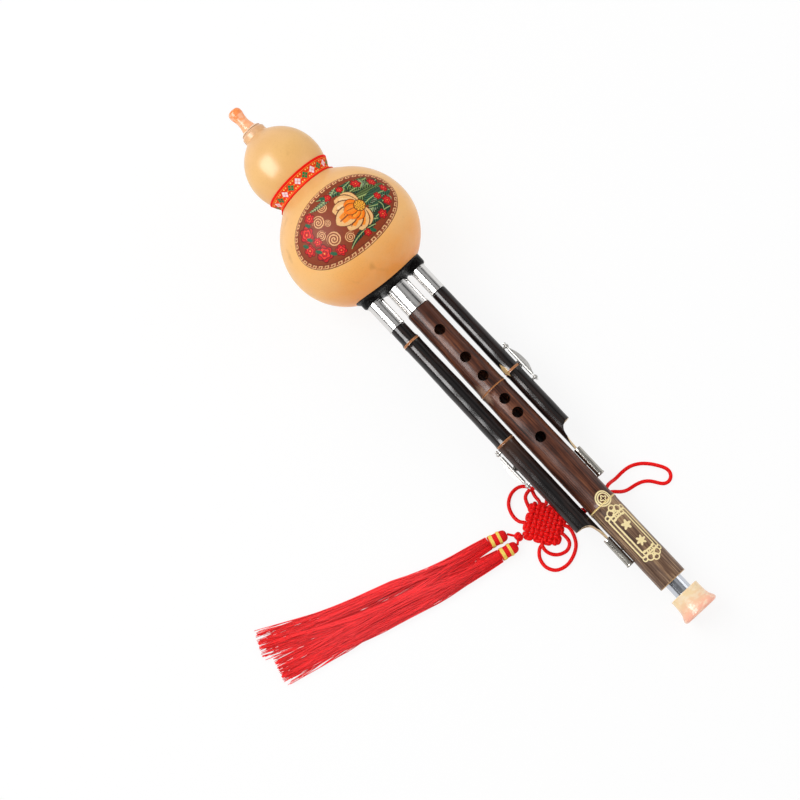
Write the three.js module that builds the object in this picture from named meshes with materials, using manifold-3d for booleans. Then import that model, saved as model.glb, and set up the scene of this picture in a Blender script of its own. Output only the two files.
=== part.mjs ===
import * as THREE from 'three';
import { mergeVertices } from 'three/addons/utils/BufferGeometryUtils.js';
import Module from 'manifold-3d';

// Hulusi: a gourd wind chest with a fingered main pipe and two drones, in millimetres.
// Lengths run along the instrument's own axis from the mouthpiece tip towards the foot.
// The instrument lies on its back, finger holes up, on its large bulb and its foot bell.

const wasm = await Module();
wasm.setup();

// Fits
const seatGap = 0.3;
const slideGap = 0.2;
const pivotGap = 0.15;
const cutOverrun = 2;
const weldTolerance = 0.0002;

// Facets
const gourdSides = 32;
const pipeSides = 20;
const droneSides = 16;
const bellSides = 24;
const holeSides = 14;
const pinSides = 10;
const cordSides = 8;
const strandSides = 6;

// Mouthpiece
const mouthpieceLength = 16.9;
const mouthpieceTipRadius = 4.75;
const mouthpieceWaistRadius = 3.9;
const mouthpieceFootRadius = 4.9;
const mouthpieceBoreRadius = 1.6;
const mouthpieceSpigotLength = 9;
const mouthpieceTipRoundShare = 0.4;
const mouthpieceAlongShares = [0.12, 0.27, 0.6, 0.82];
const collarLength = 1.6;
const collarTopRadius = 5.9;
const collarRadius = 7.6;
const collarMiddleShare = 0.6;

// Gourd
const gourdStemRadius = 8.7;
const gourdStemBoreRadius = 3.9;
const gourdUpperRadius = 26.2;
const gourdUpperHalf = 29;
const gourdWaistRadius = 11.5;
const gourdLowerRadius = 47.9;
const gourdLowerHalf = 46.9;
const gourdWall = 4;
const stemTopToUpper = 34.2;
const upperToWaist = 16.3;
const waistToLower = 48.8;
const gourdBottomDepth = 44.7;
const gourdBlendPower = 3.5;
const gourdOutlineCounts = [6, 8, 4, 6];
const gourdInsideCounts = [3, 3, 2, 3];
const tableBlockSize = 200;
const restFlatDepth = 1;

// Waist ribbon
const ribbonWidth = 10;
const ribbonFromWaist = 0.9;
const ribbonThickness = 0.8;

// Resin seat between the gourd and the pipes
const seatHeight = 1.6;
const seatSkirt = 10;
const seatMargin = 2;
const seatRounding = 0.9;
const seatOutlineCounts = [9, 6, 2, 2];
const roundingShare = 0.3;
const ferrulePocketDepth = 2;
const ferrulePocketPlay = 0.7;

// Ferrules
const ferruleLength = 21.6;
const ferruleWall = 0.9;
const ferruleSpacing = 3.6;
const mainFerruleRadius = 8.8;
const leftFerruleRadius = 6.1;
const rightFerruleRadius = 5.4;
const ferruleBead = 0.25;
const ferruleBeadLength = 1.2;

// Reed tubes and reeds
const reedTubeReach = 34;
const reedTubeWall = 1.1;
const mainReedTubeRadius = 5.6;
const leftReedTubeRadius = 4;
const rightReedTubeRadius = 3.3;
const reedCapThickness = 1.5;
const reedPlateThickness = 0.6;
const reedPlateLength = 18;
const reedWindowLength = 14;
const reedSlit = 0.35;
const reedSeatDepth = 0.9;
const reedPlateWidthShare = 0.9;
const reedHalfWidthShare = 0.25;
const reedPointSetback = 1.05;

// Main pipe
const pipeTenonLength = 14.6;
const pipeShoulderGap = 0.4;
const mainPipeLength = 244.3;
const mainTopRadius = 9.1;
const mainMiddleRadius = 10.3;
const mainFootRadius = 10.4;
const mainBoreRadius = 5.4;
const firstNodeFromShoulder = 72.6;
const secondNodeFromShoulder = 177.4;
const nodeSwell = 0.45;
const nodeGroove = 0.3;
const nodeReach = 2.6;
const nodeReachShares = [-1, -0.4, -0.1, 0, 0.12, 1];
const nodeSwellShares = [0, 1, 0.8, 0, 0.7, 0];
const pipeStationShares = [0, 0.25, 0.5, 0.75];
const fingerHoleRadius = 3.7;
const fingerHoleFromShoulder = [20.5, 45.5, 62.4, 83.3, 95.7, 117.7];
const thumbHoleRadius = 3.2;
const thumbHoleFromShoulder = 9.6;
const ventHoleRadius = 2.2;
const ventHoleFromFoot = 52;
const cordHoleRadius = 3.2;
const cordHoleFromFoot = 71.9;
const cordHoleDrop = 5.6;

// Drones
const droneBoreRadius = 2.8;
const droneNodeSwell = 0.4;
const leftTopRadius = 6.2;
const leftMiddleRadius = 6.6;
const leftFootRadius = 6.7;
const leftPipeLength = 179.4;
const leftFirstNode = 13.1;
const leftSecondNode = 104.2;
const leftSlashLength = 15.7;
const rightTopRadius = 5.3;
const rightMiddleRadius = 5.6;
const rightFootRadius = 5.7;
const rightPipeLength = 120.2;
const rightNode = 71.7;
const rightSlashLength = 18.2;
const tongueThickness = 1.5;
const tongueTipHalfWidth = 1.1;
const tongueMiddleShare = 0.4;
const slashAlongShares = [0, 0.04, 0.2, 0.5, 1];
const slashAcrossShares = [0, 0.53, 0.84, 0.97, 1];
const slashSteps = 12;
const trimStartShare = 0.25;

// Clips that hold the drone tongues to the main pipe
const clipLength = 23.3;
const clipRadius = 2.6;
const clipWall = 0.5;
const clipRingRadius = 2.9;
const clipRingLength = 1.3;
const clipRingStep = 0.1;
const clipEntry = 3.8;
const clipPinRadius = 0.8;
const clipPinDepth = 2;

// Drone levers
const leverSpan = 28;
const leftLeverFromShoulder = 120.7;
const rightLeverFromShoulder = 71.4;
const leftLeverTurn = -18;
const rightLeverTurn = 4;
const leverStandoff = 2;
const leverRodRadius = 0.6;
const leverTubeRadius = 1.2;
const leverTubeLength = 22;
const leverBallRadius = 1.6;
const leverStemRadius = 0.8;
const leverStemDepth = 1.6;
const leverHeadRadius = 1.1;
const leverHeadLength = 0.8;
const wingReach = 3;
const wingLength = 20.5;
const wingThickness = 0.9;
const wingShares = [-0.8, -0.3, 0.45];
const wingSteps = 10;
const wingRootInset = 0.2;
const padAngle = -42;
const padRadius = 2.3;
const padThickness = 0.9;
const cupRadius = 2.8;
const cupThickness = 0.9;
const cupWebShare = 0.3;
const leverArmWidth = 3;
const droneVentRadius = 1.4;

// Foot tuning slide and bell
const tuningRadius = 6.3;
const tuningWall = 0.7;
const tuningShown = 10;
const tuningInserted = 26;
const tuningInward = 9;
const bushWall = 0.45;
const bellLength = 17.2;
const bellTopRadius = 10.8;
const bellLipRadius = 13.5;
const bellLipRound = 1.5;
const bellSocketDepth = 6;
const bellMouthRadius = 11.4;
const bellThroatRadius = 5.4;
const bellStraight = 4.5;
const flareAlongShares = [0.62, 0.8];
const flareRadiusShares = [0.25, 0.78];
const flareSteps = 6;
const mouthAlongShares = [0.75, 0.55];
const mouthRadiusShares = [0.62, 0.2];

// Hanging loop, knot and tassels, lying on the table
const cordRadius = 1.15;
const cordSteps = 58;
const knotSpan = 19.6;
const knotPasses = 5;
const knotWave = 1.36;
const knotTurnShare = 0.55;
const knotStepsPerPoint = 1.15;
const knotTurn = 31.8;
const knotCentre = [113.2, -33.8, 2.6];
const knotButtonRadius = 3;
const tasselCordRadius = 0.8;
const knotButtonCentre = [107.8, -52.4, 3.45];
const headLength = 13;
const headRadius = 4.2;
const headTopRadius = 3.1;
const headAlongShares = [0.08, 0.25, 0.5];
const headShoulder = 0.3;
const headHeight = 4.6;
const bandLengths = [2, 2.4];
const bandStarts = [4.6, 9.8];
const bandThickness = 0.35;
const bandGap = 0.05;
const skirtFluteShare = 0.07;
const skirtFlutes = 5;
const skirtPoints = 20;
const skirtRingsPerSpan = 4;

const cordRoute = [
  [119.2, -18.6, 2.6], [122, -17, 3.2], [125.01, -16.1, 7.16], [126.79, -14.1, 12.86], [127.6, -10.7, 17.9],
  [127.4, -6.63, 19.15], [127.3, 0, 19.2], [127.1, 6.63, 19.15], [125.1, 11.7, 16.8],
  [123.72, 16.1, 9.91], [123.2, 21.4, 3.2], [122.6, 27.6, 1.3], [123.3, 34, 1.25],
  [126.2, 39.8, 1.25], [131.8, 44.3, 1.25], [138, 47.7, 1.25], [141.8, 48.5, 1.25],
  [145.1, 46.6, 1.25], [146.5, 43.2, 1.25], [144.8, 39.7, 1.25], [138.4, 34.2, 1.25], [134.8, 28.4, 1.3],
  [134.2, 22, 2.9], [132.89, 17.03, 8.43], [129.86, 11.9, 14.97], [127.4, 6.87, 16.55],
  [127.3, 0, 16.55], [127.1, -6.87, 16.55], [126.1, -9.4, 15.7], [124.39, -11.1, 12.86],
  [121.8, -12.5, 8.01], [118.99, -14, 4.42], [117, -15, 3.2], [115.6, -16.5, 2.6],
];
const leftEarRoute = [
  [94.8, -25.6, 1.6], [88.4, -24.2, 1.25], [83.4, -28.6, 1.25], [82.8, -35.4, 1.25],
  [86.8, -42, 1.25], [93.8, -45.2, 1.25], [100, -45, 1.7], [103.9, -42.5, 2.6],
];
const cornerEarRoute = [
  [127.7, -33.5, 2.6], [131.8, -30.6, 2.2], [135.2, -33.2, 1.4], [135.2, -39, 1.25],
  [131.4, -42, 1.6],
];
const footEarRoute = [
  [121.9, -43.1, 2.6], [123, -47.6, 1.6], [127.8, -51.8, 1.25], [134.8, -52.8, 1.25],
  [140.8, -49.4, 1.25], [143.2, -42.4, 1.25], [141.6, -34.6, 1.25], [137.4, -28.2, 1.25],
  [130.8, -24.6, 1.5], [125.8, -23.8, 2.2], [122.5, -25.1, 2.6],
];
const topEarRoute = [
  [104.5, -24.5, 2.6], [100.8, -20.4, 3.4], [94.6, -19.65, 4], [90.17, -24, 4.11],
  [91.2, -30.6, 3.9], [98.7, -34.1, 2.6],
];
const headStarts = [[101.3, -57], [111.7, -57]];
const skirtRoutes = [
  [[97.7, -69.8], [89.8, -101], [77, -142], [66.4, -177], [48, -223]],
  [[108.9, -70], [102, -103], [89.8, -144.5], [80.4, -182], [66.8, -225]],
];
const skirtHalfWidths = [[4.1, 5.6, 6, 6.4, 9], [4.1, 5.8, 6.1, 6.6, 9.4]];
const skirtHeights = [8.3, 6.6, 5.4, 4.6, 2.8];

// Places along the axis, worked out from the sizes
const stemTop = mouthpieceLength + collarLength + 2 * seatGap;
const upperCentre = stemTop + stemTopToUpper;
const waist = upperCentre + upperToWaist;
const lowerCentre = waist + waistToLower;
const gourdBottom = lowerCentre + gourdBottomDepth;
const seatTop = gourdBottom + seatGap + seatHeight;
const ferruleStart = seatTop - ferrulePocketDepth;
const ferruleEnd = ferruleStart + ferruleLength;
const shoulder = ferruleEnd + pipeShoulderGap;
const pipeStart = shoulder - pipeTenonLength;
const mainPipeEnd = shoulder + mainPipeLength;
const bellStart = mainPipeEnd + tuningShown;
const bellEnd = bellStart + bellLength;
const leftAcross = -(mainFerruleRadius + ferruleSpacing + leftFerruleRadius);
const rightAcross = mainFerruleRadius + ferruleSpacing + rightFerruleRadius;
const bushOuterRadius = tuningRadius + slideGap + bushWall;
const socketLength = tuningInserted + tuningInward + 2 * seatGap;

// The lean that puts the large bulb and the bell's lip on one table
const lipApothem = bellLipRadius * Math.cos(Math.PI / bellSides);
const bulbHeight = gourdLowerRadius - restFlatDepth;
const lipFromBulb = bellEnd - bellLipRound - lowerCentre;
const lean = Math.asin(bulbHeight / Math.hypot(lipFromBulb, lipApothem)) - Math.atan2(lipApothem, lipFromBulb);

const mainPipe = {
  across: 0, sides: pipeSides, ferrule: mainFerruleRadius, reedTube: mainReedTubeRadius,
  bore: mainBoreRadius, top: mainTopRadius, middle: mainMiddleRadius, foot: mainFootRadius,
  length: mainPipeLength, nodes: [firstNodeFromShoulder, secondNodeFromShoulder], swell: nodeSwell,
};
const leftDrone = {
  across: leftAcross, sides: droneSides, ferrule: leftFerruleRadius, reedTube: leftReedTubeRadius,
  bore: droneBoreRadius, top: leftTopRadius, middle: leftMiddleRadius, foot: leftFootRadius,
  length: leftPipeLength, nodes: [leftFirstNode, leftSecondNode], swell: droneNodeSwell,
  slash: leftSlashLength, lever: leftLeverFromShoulder, leverTurn: leftLeverTurn,
};
const rightDrone = {
  across: rightAcross, sides: droneSides, ferrule: rightFerruleRadius, reedTube: rightReedTubeRadius,
  bore: droneBoreRadius, top: rightTopRadius, middle: rightMiddleRadius, foot: rightFootRadius,
  length: rightPipeLength, nodes: [rightNode], swell: droneNodeSwell,
  slash: rightSlashLength, lever: rightLeverFromShoulder, leverTurn: rightLeverTurn,
};

const finish = (color, roughness, metalness = 0) => new THREE.MeshStandardMaterial({ color, roughness, metalness });
const materials = {
  gourd: finish(0xdca65c, 0.35),
  resinOrange: finish(0xf08a4b, 0.3),
  resinCream: finish(0xf3d3a6, 0.3),
  ribbon: finish(0xd8231c, 0.8),
  blackResin: finish(0x151312, 0.25),
  steel: finish(0xc9ccd0, 0.2, 1),
  brass: finish(0xc79a3d, 0.35, 1),
  bamboo: finish(0x4b2a22, 0.4),
  darkBamboo: finish(0x1d1715, 0.3),
  reedWood: finish(0xb98d56, 0.6),
  cork: finish(0xb07c4c, 0.9),
  cord: finish(0xd90d12, 0.7),
  gold: finish(0xe8c04a, 0.45),
};

// Turns loose faces into one welded mesh and drops those that a pole folds flat
function welded(geometry) {
  geometry.deleteAttribute('normal');
  geometry.deleteAttribute('uv');
  const merged = mergeVertices(geometry, weldTolerance);
  const source = merged.index.array;
  const kept = [];
  for (let i = 0; i < source.length; i += 3) {
    const [a, b, c] = [source[i], source[i + 1], source[i + 2]];
    if (a !== b && b !== c && c !== a) kept.push(a, b, c);
  }
  merged.setIndex(kept);
  return merged;
}

// Signed volume of a closed mesh, positive where its faces point out
function signedVolume(positions, faces) {
  let sum = 0;
  const at = (i) => new THREE.Vector3().fromArray(positions, 3 * i);
  for (let i = 0; i < faces.length; i += 3) {
    sum += at(faces[i]).dot(at(faces[i + 1]).cross(at(faces[i + 2])));
  }
  return sum;
}

function solid(geometry) {
  const mesh = welded(geometry);
  const vertProperties = new Float32Array(mesh.attributes.position.array);
  const triVerts = new Uint32Array(mesh.index.array);
  if (signedVolume(vertProperties, triVerts) < 0) triVerts.reverse();
  return new wasm.Manifold(new wasm.Mesh({ numProp: 3, vertProperties, triVerts }));
}

function geometryOf(body) {
  const mesh = body.getMesh();
  const geometry = new THREE.BufferGeometry();
  geometry.setAttribute('position', new THREE.BufferAttribute(new Float32Array(mesh.vertProperties), 3));
  geometry.setIndex(new THREE.BufferAttribute(new Uint32Array(mesh.triVerts), 1));
  geometry.computeVertexNormals();
  return geometry;
}

// Revolves a profile of [along, radius] points about the line at across, with a flat side down
function turned(profile, sides, across = 0) {
  const points = profile.map(([along, radius]) => new THREE.Vector2(radius, along));
  const geometry = new THREE.LatheGeometry(points, sides, Math.PI / sides);
  geometry.rotateZ(-Math.PI / 2);
  geometry.translate(0, across, 0);
  return solid(geometry);
}

const rod = (start, end, radius, sides, across = 0) =>
  turned([[start, 0], [start, radius], [end, radius], [end, 0]], sides, across);

// A straight round cutter or pin from one point to another
function pin(from, to, radius, sides = pinSides) {
  const start = new THREE.Vector3(...from);
  const direction = new THREE.Vector3(...to).sub(start);
  const length = direction.length();
  const geometry = new THREE.CylinderGeometry(radius, radius, length, sides);
  const turn = new THREE.Quaternion().setFromUnitVectors(new THREE.Vector3(0, 1, 0), direction.normalize());
  geometry.applyQuaternion(turn);
  geometry.translate(...start.addScaledVector(direction, length / 2).toArray());
  return solid(geometry);
}

// A flat outline of [x, y] points pushed along z from low to high
function slab(outline, low, high) {
  const shape = new THREE.Shape(outline.map(([x, y]) => new THREE.Vector2(x, y)));
  const geometry = new THREE.ExtrudeGeometry(shape, { depth: high - low, bevelEnabled: false });
  geometry.translate(0, 0, low);
  return geometry;
}

// A round cord along a smooth route
function cordAlong(route, radius, sides, steps) {
  const curve = new THREE.CatmullRomCurve3(route.map((point) => new THREE.Vector3(...point)), false, 'centripetal');
  const section = new THREE.Shape(Array.from({ length: sides }, (_, i) => {
    const angle = (2 * Math.PI * i) / sides;
    return new THREE.Vector2(radius * Math.cos(angle), radius * Math.sin(angle));
  }));
  return solid(new THREE.ExtrudeGeometry(section, { steps, bevelEnabled: false, extrudePath: curve }));
}

function piece(parent, name, body, material) {
  const mesh = new THREE.Mesh(geometryOf(body), materials[material]);
  mesh.name = name;
  parent.add(mesh);
  return mesh;
}

// Half an ellipse of the given radius, zero past its ends
function bulge(along, centre, half, radius) {
  const share = (along - centre) / half;
  return radius * Math.sqrt(Math.max(0, 1 - share * share));
}

const smooth = (share) => share * share * (3 - 2 * share);

// The gourd's radius: two bulbs and a core, blended; inset gives the inside of its wall
function gourdRadius(along, inset = 0) {
  const upper = bulge(along, upperCentre, gourdUpperHalf - inset, gourdUpperRadius - inset);
  const lowerHalf = along > lowerCentre ? gourdBottomDepth : gourdLowerHalf;
  const lower = bulge(along, lowerCentre, lowerHalf - inset, gourdLowerRadius - inset);
  const stem = inset > 0 ? gourdStemBoreRadius : gourdStemRadius - inset;
  const up = smooth(THREE.MathUtils.clamp((along - stemTop) / (waist - stemTop), 0, 1));
  const down = 1 - smooth(THREE.MathUtils.clamp((along - waist) / (lowerCentre - waist), 0, 1));
  const core = stem * (1 - up) + (gourdWaistRadius - inset) * up * down;
  return (upper ** gourdBlendPower + lower ** gourdBlendPower + core ** gourdBlendPower) ** (1 / gourdBlendPower);
}

// Stations from the bottom pole to the stem's top, closer together where the form bends
function gourdStations(counts, inset = 0) {
  const [bottom, lower, upper, neck] = counts;
  const quarter = (count, place) => Array.from({ length: count }, (_, i) => place((Math.PI / 2) * (i / count)));
  return [
    ...quarter(bottom, (angle) => lowerCentre + (gourdBottomDepth - inset) * Math.cos(angle)),
    ...quarter(lower, (angle) => lowerCentre - waistToLower * Math.sin(angle)),
    ...quarter(upper, (angle) => upperCentre + upperToWaist * Math.cos(angle)),
    ...quarter(neck, (angle) => upperCentre - stemTopToUpper * Math.sin(angle)),
    stemTop,
  ];
}

function gourdProfile(counts, inset) {
  const stations = gourdStations(counts, Math.max(inset, 0));
  const profile = stations.map((along) => [along, gourdRadius(along, inset)]);
  profile[0] = [profile[0][0] - Math.min(inset, 0), 0];
  return profile;
}

// Places near the table: everything below the large bulb's resting flat
function belowTable() {
  const geometry = new THREE.BoxGeometry(tableBlockSize, tableBlockSize, tableBlockSize);
  geometry.translate(0, 0, -tableBlockSize / 2 - bulbHeight);
  geometry.rotateY(-lean);
  geometry.translate(lowerCentre, 0, 0);
  return solid(geometry);
}

function gourd() {
  const outside = gourdProfile(gourdOutlineCounts, 0);
  const inside = gourdProfile(gourdInsideCounts, gourdWall).reverse();
  let body = turned([...outside, ...inside], gourdSides);
  for (const pipe of [mainPipe, leftDrone, rightDrone]) {
    const hole = rod(lowerCentre, seatTop, pipe.reedTube + seatGap, pipe.sides, pipe.across);
    body = body.subtract(hole);
  }
  return body.subtract(belowTable());
}

function mouthpiece() {
  const spigotEnd = mouthpieceLength + mouthpieceSpigotLength;
  const spigotRadius = gourdStemBoreRadius - seatGap;
  const rim = mouthpieceTipRadius - mouthpieceTipRoundShare * (mouthpieceTipRadius - mouthpieceBoreRadius);
  const [tipEnd, gripEnd, waistPlace, flare] = mouthpieceAlongShares.map((share) => share * mouthpieceLength);
  return turned([
    [0, mouthpieceBoreRadius], [0, rim], [tipEnd, mouthpieceTipRadius], [gripEnd, mouthpieceTipRadius],
    [waistPlace, mouthpieceWaistRadius], [flare, (mouthpieceWaistRadius + mouthpieceFootRadius) / 2],
    [mouthpieceLength, mouthpieceFootRadius], [mouthpieceLength, spigotRadius],
    [spigotEnd, spigotRadius], [spigotEnd, mouthpieceBoreRadius], [0, mouthpieceBoreRadius],
  ], pipeSides);
}

function mouthpieceCollar() {
  const start = mouthpieceLength + seatGap;
  const end = start + collarLength;
  const middle = (start + end) / 2;
  const swell = THREE.MathUtils.lerp(collarTopRadius, collarRadius, collarMiddleShare);
  return turned([
    [start, gourdStemBoreRadius], [start, collarTopRadius], [middle, swell], [end, collarRadius],
    [end, gourdStemBoreRadius], [start, gourdStemBoreRadius],
  ], pipeSides);
}

// The gourd's radius on its own straight facets
function facetRadius(along) {
  const outline = gourdProfile(gourdOutlineCounts, 0);
  const next = outline.findIndex(([place]) => place <= along);
  const [[high, highRadius], [low, lowRadius]] = [outline[next - 1], outline[next]];
  return THREE.MathUtils.lerp(lowRadius, highRadius, (along - low) / (high - low));
}

function waistRibbon() {
  const start = waist + ribbonFromWaist - ribbonWidth / 2;
  const end = start + ribbonWidth;
  const between = gourdStations(gourdOutlineCounts).filter((along) => along > start && along < end).reverse();
  const stations = [start, ...between, end];
  const outer = stations.map((along) => [along, facetRadius(along) + seatGap + ribbonThickness]);
  const inner = stations.map((along) => [along, facetRadius(along) + seatGap]).reverse();
  return turned([...outer, ...inner, outer[0]], gourdSides);
}

// One collar of the seat, with a rounded top edge
function seatCollar(pipe) {
  const radius = pipe.ferrule + seatMargin;
  const low = seatTop - seatSkirt;
  return turned([
    [low, 0], [low, radius], [seatTop - seatRounding, radius],
    [seatTop - roundingShare * seatRounding, radius - roundingShare * seatRounding], [seatTop, radius - seatRounding], [seatTop, 0],
  ], pipeSides, pipe.across);
}

function pipeSeat() {
  const all = [mainPipe, leftDrone, rightDrone];
  let body = all.map(seatCollar).reduce((sum, collar) => sum.add(collar));
  const gourdSpace = turned([...gourdProfile(seatOutlineCounts, -seatGap), [stemTop, 0]], gourdSides);
  body = body.subtract(gourdSpace);
  for (const pipe of all) {
    const floor = ferruleStart - ferrulePocketPlay;
    const pocket = rod(floor, seatTop + cutOverrun, pipe.ferrule + seatGap, pipe.sides, pipe.across);
    const bore = rod(lowerCentre, seatTop, pipe.reedTube + seatGap, pipe.sides, pipe.across);
    body = body.subtract(pocket).subtract(bore);
  }
  return body;
}

function ferrule(pipe) {
  const inner = pipe.ferrule - ferruleWall;
  const bead = pipe.ferrule + ferruleBead;
  const beadStart = seatTop + seatGap;
  const beadEnd = beadStart + ferruleBeadLength;
  return turned([
    [ferruleStart, inner], [ferruleStart, pipe.ferrule], [beadStart, pipe.ferrule],
    [beadStart, bead], [beadEnd, bead], [beadEnd, pipe.ferrule],
    [ferruleEnd - ferruleBeadLength, pipe.ferrule], [ferruleEnd - ferruleBeadLength, bead],
    [ferruleEnd, bead], [ferruleEnd, inner], [ferruleStart, inner],
  ], pipe.sides, pipe.across);
}

const reedSeatHeight = (pipe) => pipe.reedTube - reedSeatDepth;
const reedStart = ferruleStart - reedTubeReach;

// Closed at its inner end, shouldered inside the ferrule, with a window under the reed
function reedTube(pipe) {
  const shoulderRadius = pipe.ferrule - ferruleWall - seatGap;
  const bore = pipe.reedTube - reedTubeWall;
  const end = pipeStart - seatGap;
  const capEnd = reedStart + reedCapThickness;
  const body = turned([
    [reedStart, 0], [reedStart, pipe.reedTube], [ferruleStart, pipe.reedTube], [ferruleStart, shoulderRadius],
    [end, shoulderRadius], [end, bore], [capEnd, bore], [capEnd, 0],
  ], pipe.sides, pipe.across);
  const flatStart = reedStart + reedCapThickness;
  const flatEnd = flatStart + reedPlateLength + 2 * seatGap;
  const windowStart = flatStart + seatGap + (reedPlateLength - reedWindowLength) / 2;
  const across = pipe.across;
  const wide = pipe.reedTube;
  const square = (start, end, half) => [
    [start, across - half], [end, across - half], [end, across + half], [start, across + half],
  ];
  const flat = slab(square(flatStart, flatEnd, wide), reedSeatHeight(pipe), wide + cutOverrun);
  const opening = slab(square(windowStart, windowStart + reedWindowLength, reedHalfWidth(pipe)), 0, wide + cutOverrun);
  return body.subtract(solid(flat)).subtract(solid(opening));
}

const reedHalfWidth = (pipe) => reedHalfWidthShare * pipe.reedTube;

// Brass plate with a V slit that frees a pointed tongue
function reedPlate(pipe) {
  const start = reedStart + reedCapThickness + seatGap;
  const half = reedPlateWidthShare * Math.sqrt(pipe.reedTube ** 2 - reedSeatHeight(pipe) ** 2);
  const plate = new THREE.Shape();
  plate.moveTo(start, -half);
  plate.lineTo(start + reedPlateLength, -half);
  plate.lineTo(start + reedPlateLength, half);
  plate.lineTo(start, half);
  const root = start + (reedPlateLength - reedWindowLength) / 2 + reedSlit;
  const point = root + reedWindowLength - 2 * reedSlit;
  const wide = reedHalfWidth(pipe) - reedSlit;
  const slit = new THREE.Path();
  slit.moveTo(root, wide);
  slit.lineTo(point, 0);
  slit.lineTo(root, -wide);
  slit.lineTo(root, reedSlit - wide);
  slit.lineTo(point - reedPointSetback, 0);
  slit.lineTo(root, wide - reedSlit);
  plate.holes.push(slit);
  const geometry = new THREE.ExtrudeGeometry(plate, { depth: reedPlateThickness, bevelEnabled: false });
  geometry.translate(0, pipe.across, reedSeatHeight(pipe) + seatGap);
  return solid(geometry);
}

// A bamboo pipe's radius at a distance from its shoulder, without its nodes
function bambooRadius(pipe, distance) {
  const share = THREE.MathUtils.clamp(distance / pipe.length, 0, 1);
  if (share < 0.5) return THREE.MathUtils.lerp(pipe.top, pipe.middle, smooth(2 * share));
  return THREE.MathUtils.lerp(pipe.middle, pipe.foot, smooth(2 * share - 1));
}

// Swelling, scar groove and second swelling of one bamboo node
function nodeRings(pipe, distance) {
  const radius = bambooRadius(pipe, distance);
  return nodeReachShares.map((reach, i) => {
    const height = reach === 0 ? -nodeGroove : nodeSwellShares[i] * pipe.swell;
    return [distance + reach * nodeReach, radius + height];
  });
}

// Outside of a pipe from its tenon to the given end, with its nodes
function pipeOutside(pipe, end) {
  const tenon = pipe.ferrule - ferruleWall - seatGap;
  const plain = pipeStationShares.map((share) => share * end);
  const clear = plain.filter((distance) => pipe.nodes.every((node) => Math.abs(node - distance) > 2 * nodeReach));
  const rings = [
    ...clear.map((distance) => [distance, bambooRadius(pipe, distance)]),
    ...pipe.nodes.flatMap((node) => nodeRings(pipe, node)),
    [end, bambooRadius(pipe, end)],
  ].sort((a, b) => a[0] - b[0]);
  return [
    [pipeStart, pipe.bore], [pipeStart, tenon], [shoulder, tenon],
    ...rings.map(([distance, radius]) => [shoulder + distance, radius]),
  ];
}

function mainPipeBody() {
  const socketStart = mainPipeEnd - socketLength;
  const socketRadius = bushOuterRadius + slideGap;
  let body = turned([
    ...pipeOutside(mainPipe, mainPipeLength), [mainPipeEnd, socketRadius], [socketStart, socketRadius],
    [socketStart, mainPipe.bore], [pipeStart, mainPipe.bore],
  ], pipeSides);
  const out = mainFootRadius + cutOverrun;
  for (const distance of fingerHoleFromShoulder) {
    body = body.subtract(pin([shoulder + distance, 0, 0], [shoulder + distance, 0, out], fingerHoleRadius, holeSides));
  }
  const thumb = shoulder + thumbHoleFromShoulder;
  body = body.subtract(pin([thumb, 0, 0], [thumb, 0, -out], thumbHoleRadius, holeSides));
  const vent = mainPipeEnd - ventHoleFromFoot;
  body = body.subtract(pin([vent, 0, 0], [vent, 0, -out], ventHoleRadius, pinSides));
  const cord = mainPipeEnd - cordHoleFromFoot;
  body = body.subtract(pin([cord, -out, -cordHoleDrop], [cord, out, -cordHoleDrop], cordHoleRadius, pinSides));
  for (const drone of [leftDrone, rightDrone]) {
    const [along, side] = [clipPinPlace(drone), Math.sign(drone.across)];
    const depth = clipPinDepth + seatGap;
    const start = [along, side * (mainFootRadius - depth), 0];
    body = body.subtract(pin(start, [along, side * out, 0], clipPinRadius + seatGap));
  }
  return body;
}

const slashStart = (drone) => shoulder + drone.length;
const clipStart = (drone) => slashStart(drone) + drone.slash + seatGap;
const clipPinPlace = (drone) => clipStart(drone) + clipLength / 2;
const clipAcross = (drone) => Math.sign(drone.across) * (mainFootRadius + seatGap + clipRadius);

// Everything beyond the slash cut: a concave sweep from the outer corner to the inner tongue
function slashCut(drone) {
  const side = Math.sign(drone.across);
  const outer = drone.across + side * drone.foot;
  const inner = drone.across - side * (drone.foot - tongueThickness);
  const knots = slashAlongShares.map((along, i) => new THREE.Vector2(
    slashStart(drone) + along * drone.slash, outer + slashAcrossShares[i] * (inner - outer),
  ));
  const sweep = new THREE.SplineCurve(knots).getPoints(slashSteps).map((point) => [point.x, point.y]);
  const end = clipStart(drone) + clipEntry + cutOverrun;
  const outline = [
    [slashStart(drone), outer + side * cutOverrun], ...sweep, [end, inner], [end, outer + side * cutOverrun],
  ];
  const high = drone.foot + cutOverrun;
  return solid(slab(outline, -high, high));
}

// Trims the tongue's edges so that its tip enters the clip
function tongueTrim(drone, side) {
  const start = slashStart(drone) + trimStartShare * drone.slash;
  const tip = clipStart(drone) - seatGap;
  const end = tip + clipEntry + cutOverrun;
  const high = drone.foot + cutOverrun;
  const low = tongueTipHalfWidth;
  const middle = low + tongueMiddleShare * (drone.foot - low);
  const shape = [
    [start, high], [start, drone.foot], [(start + tip) / 2, middle], [tip, low], [end, low], [end, high],
  ];
  const geometry = slab(shape.map(([along, height]) => [along, side * height]), -high, high);
  geometry.rotateX(Math.PI / 2);
  geometry.translate(0, drone.across, 0);
  return solid(geometry);
}

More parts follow.
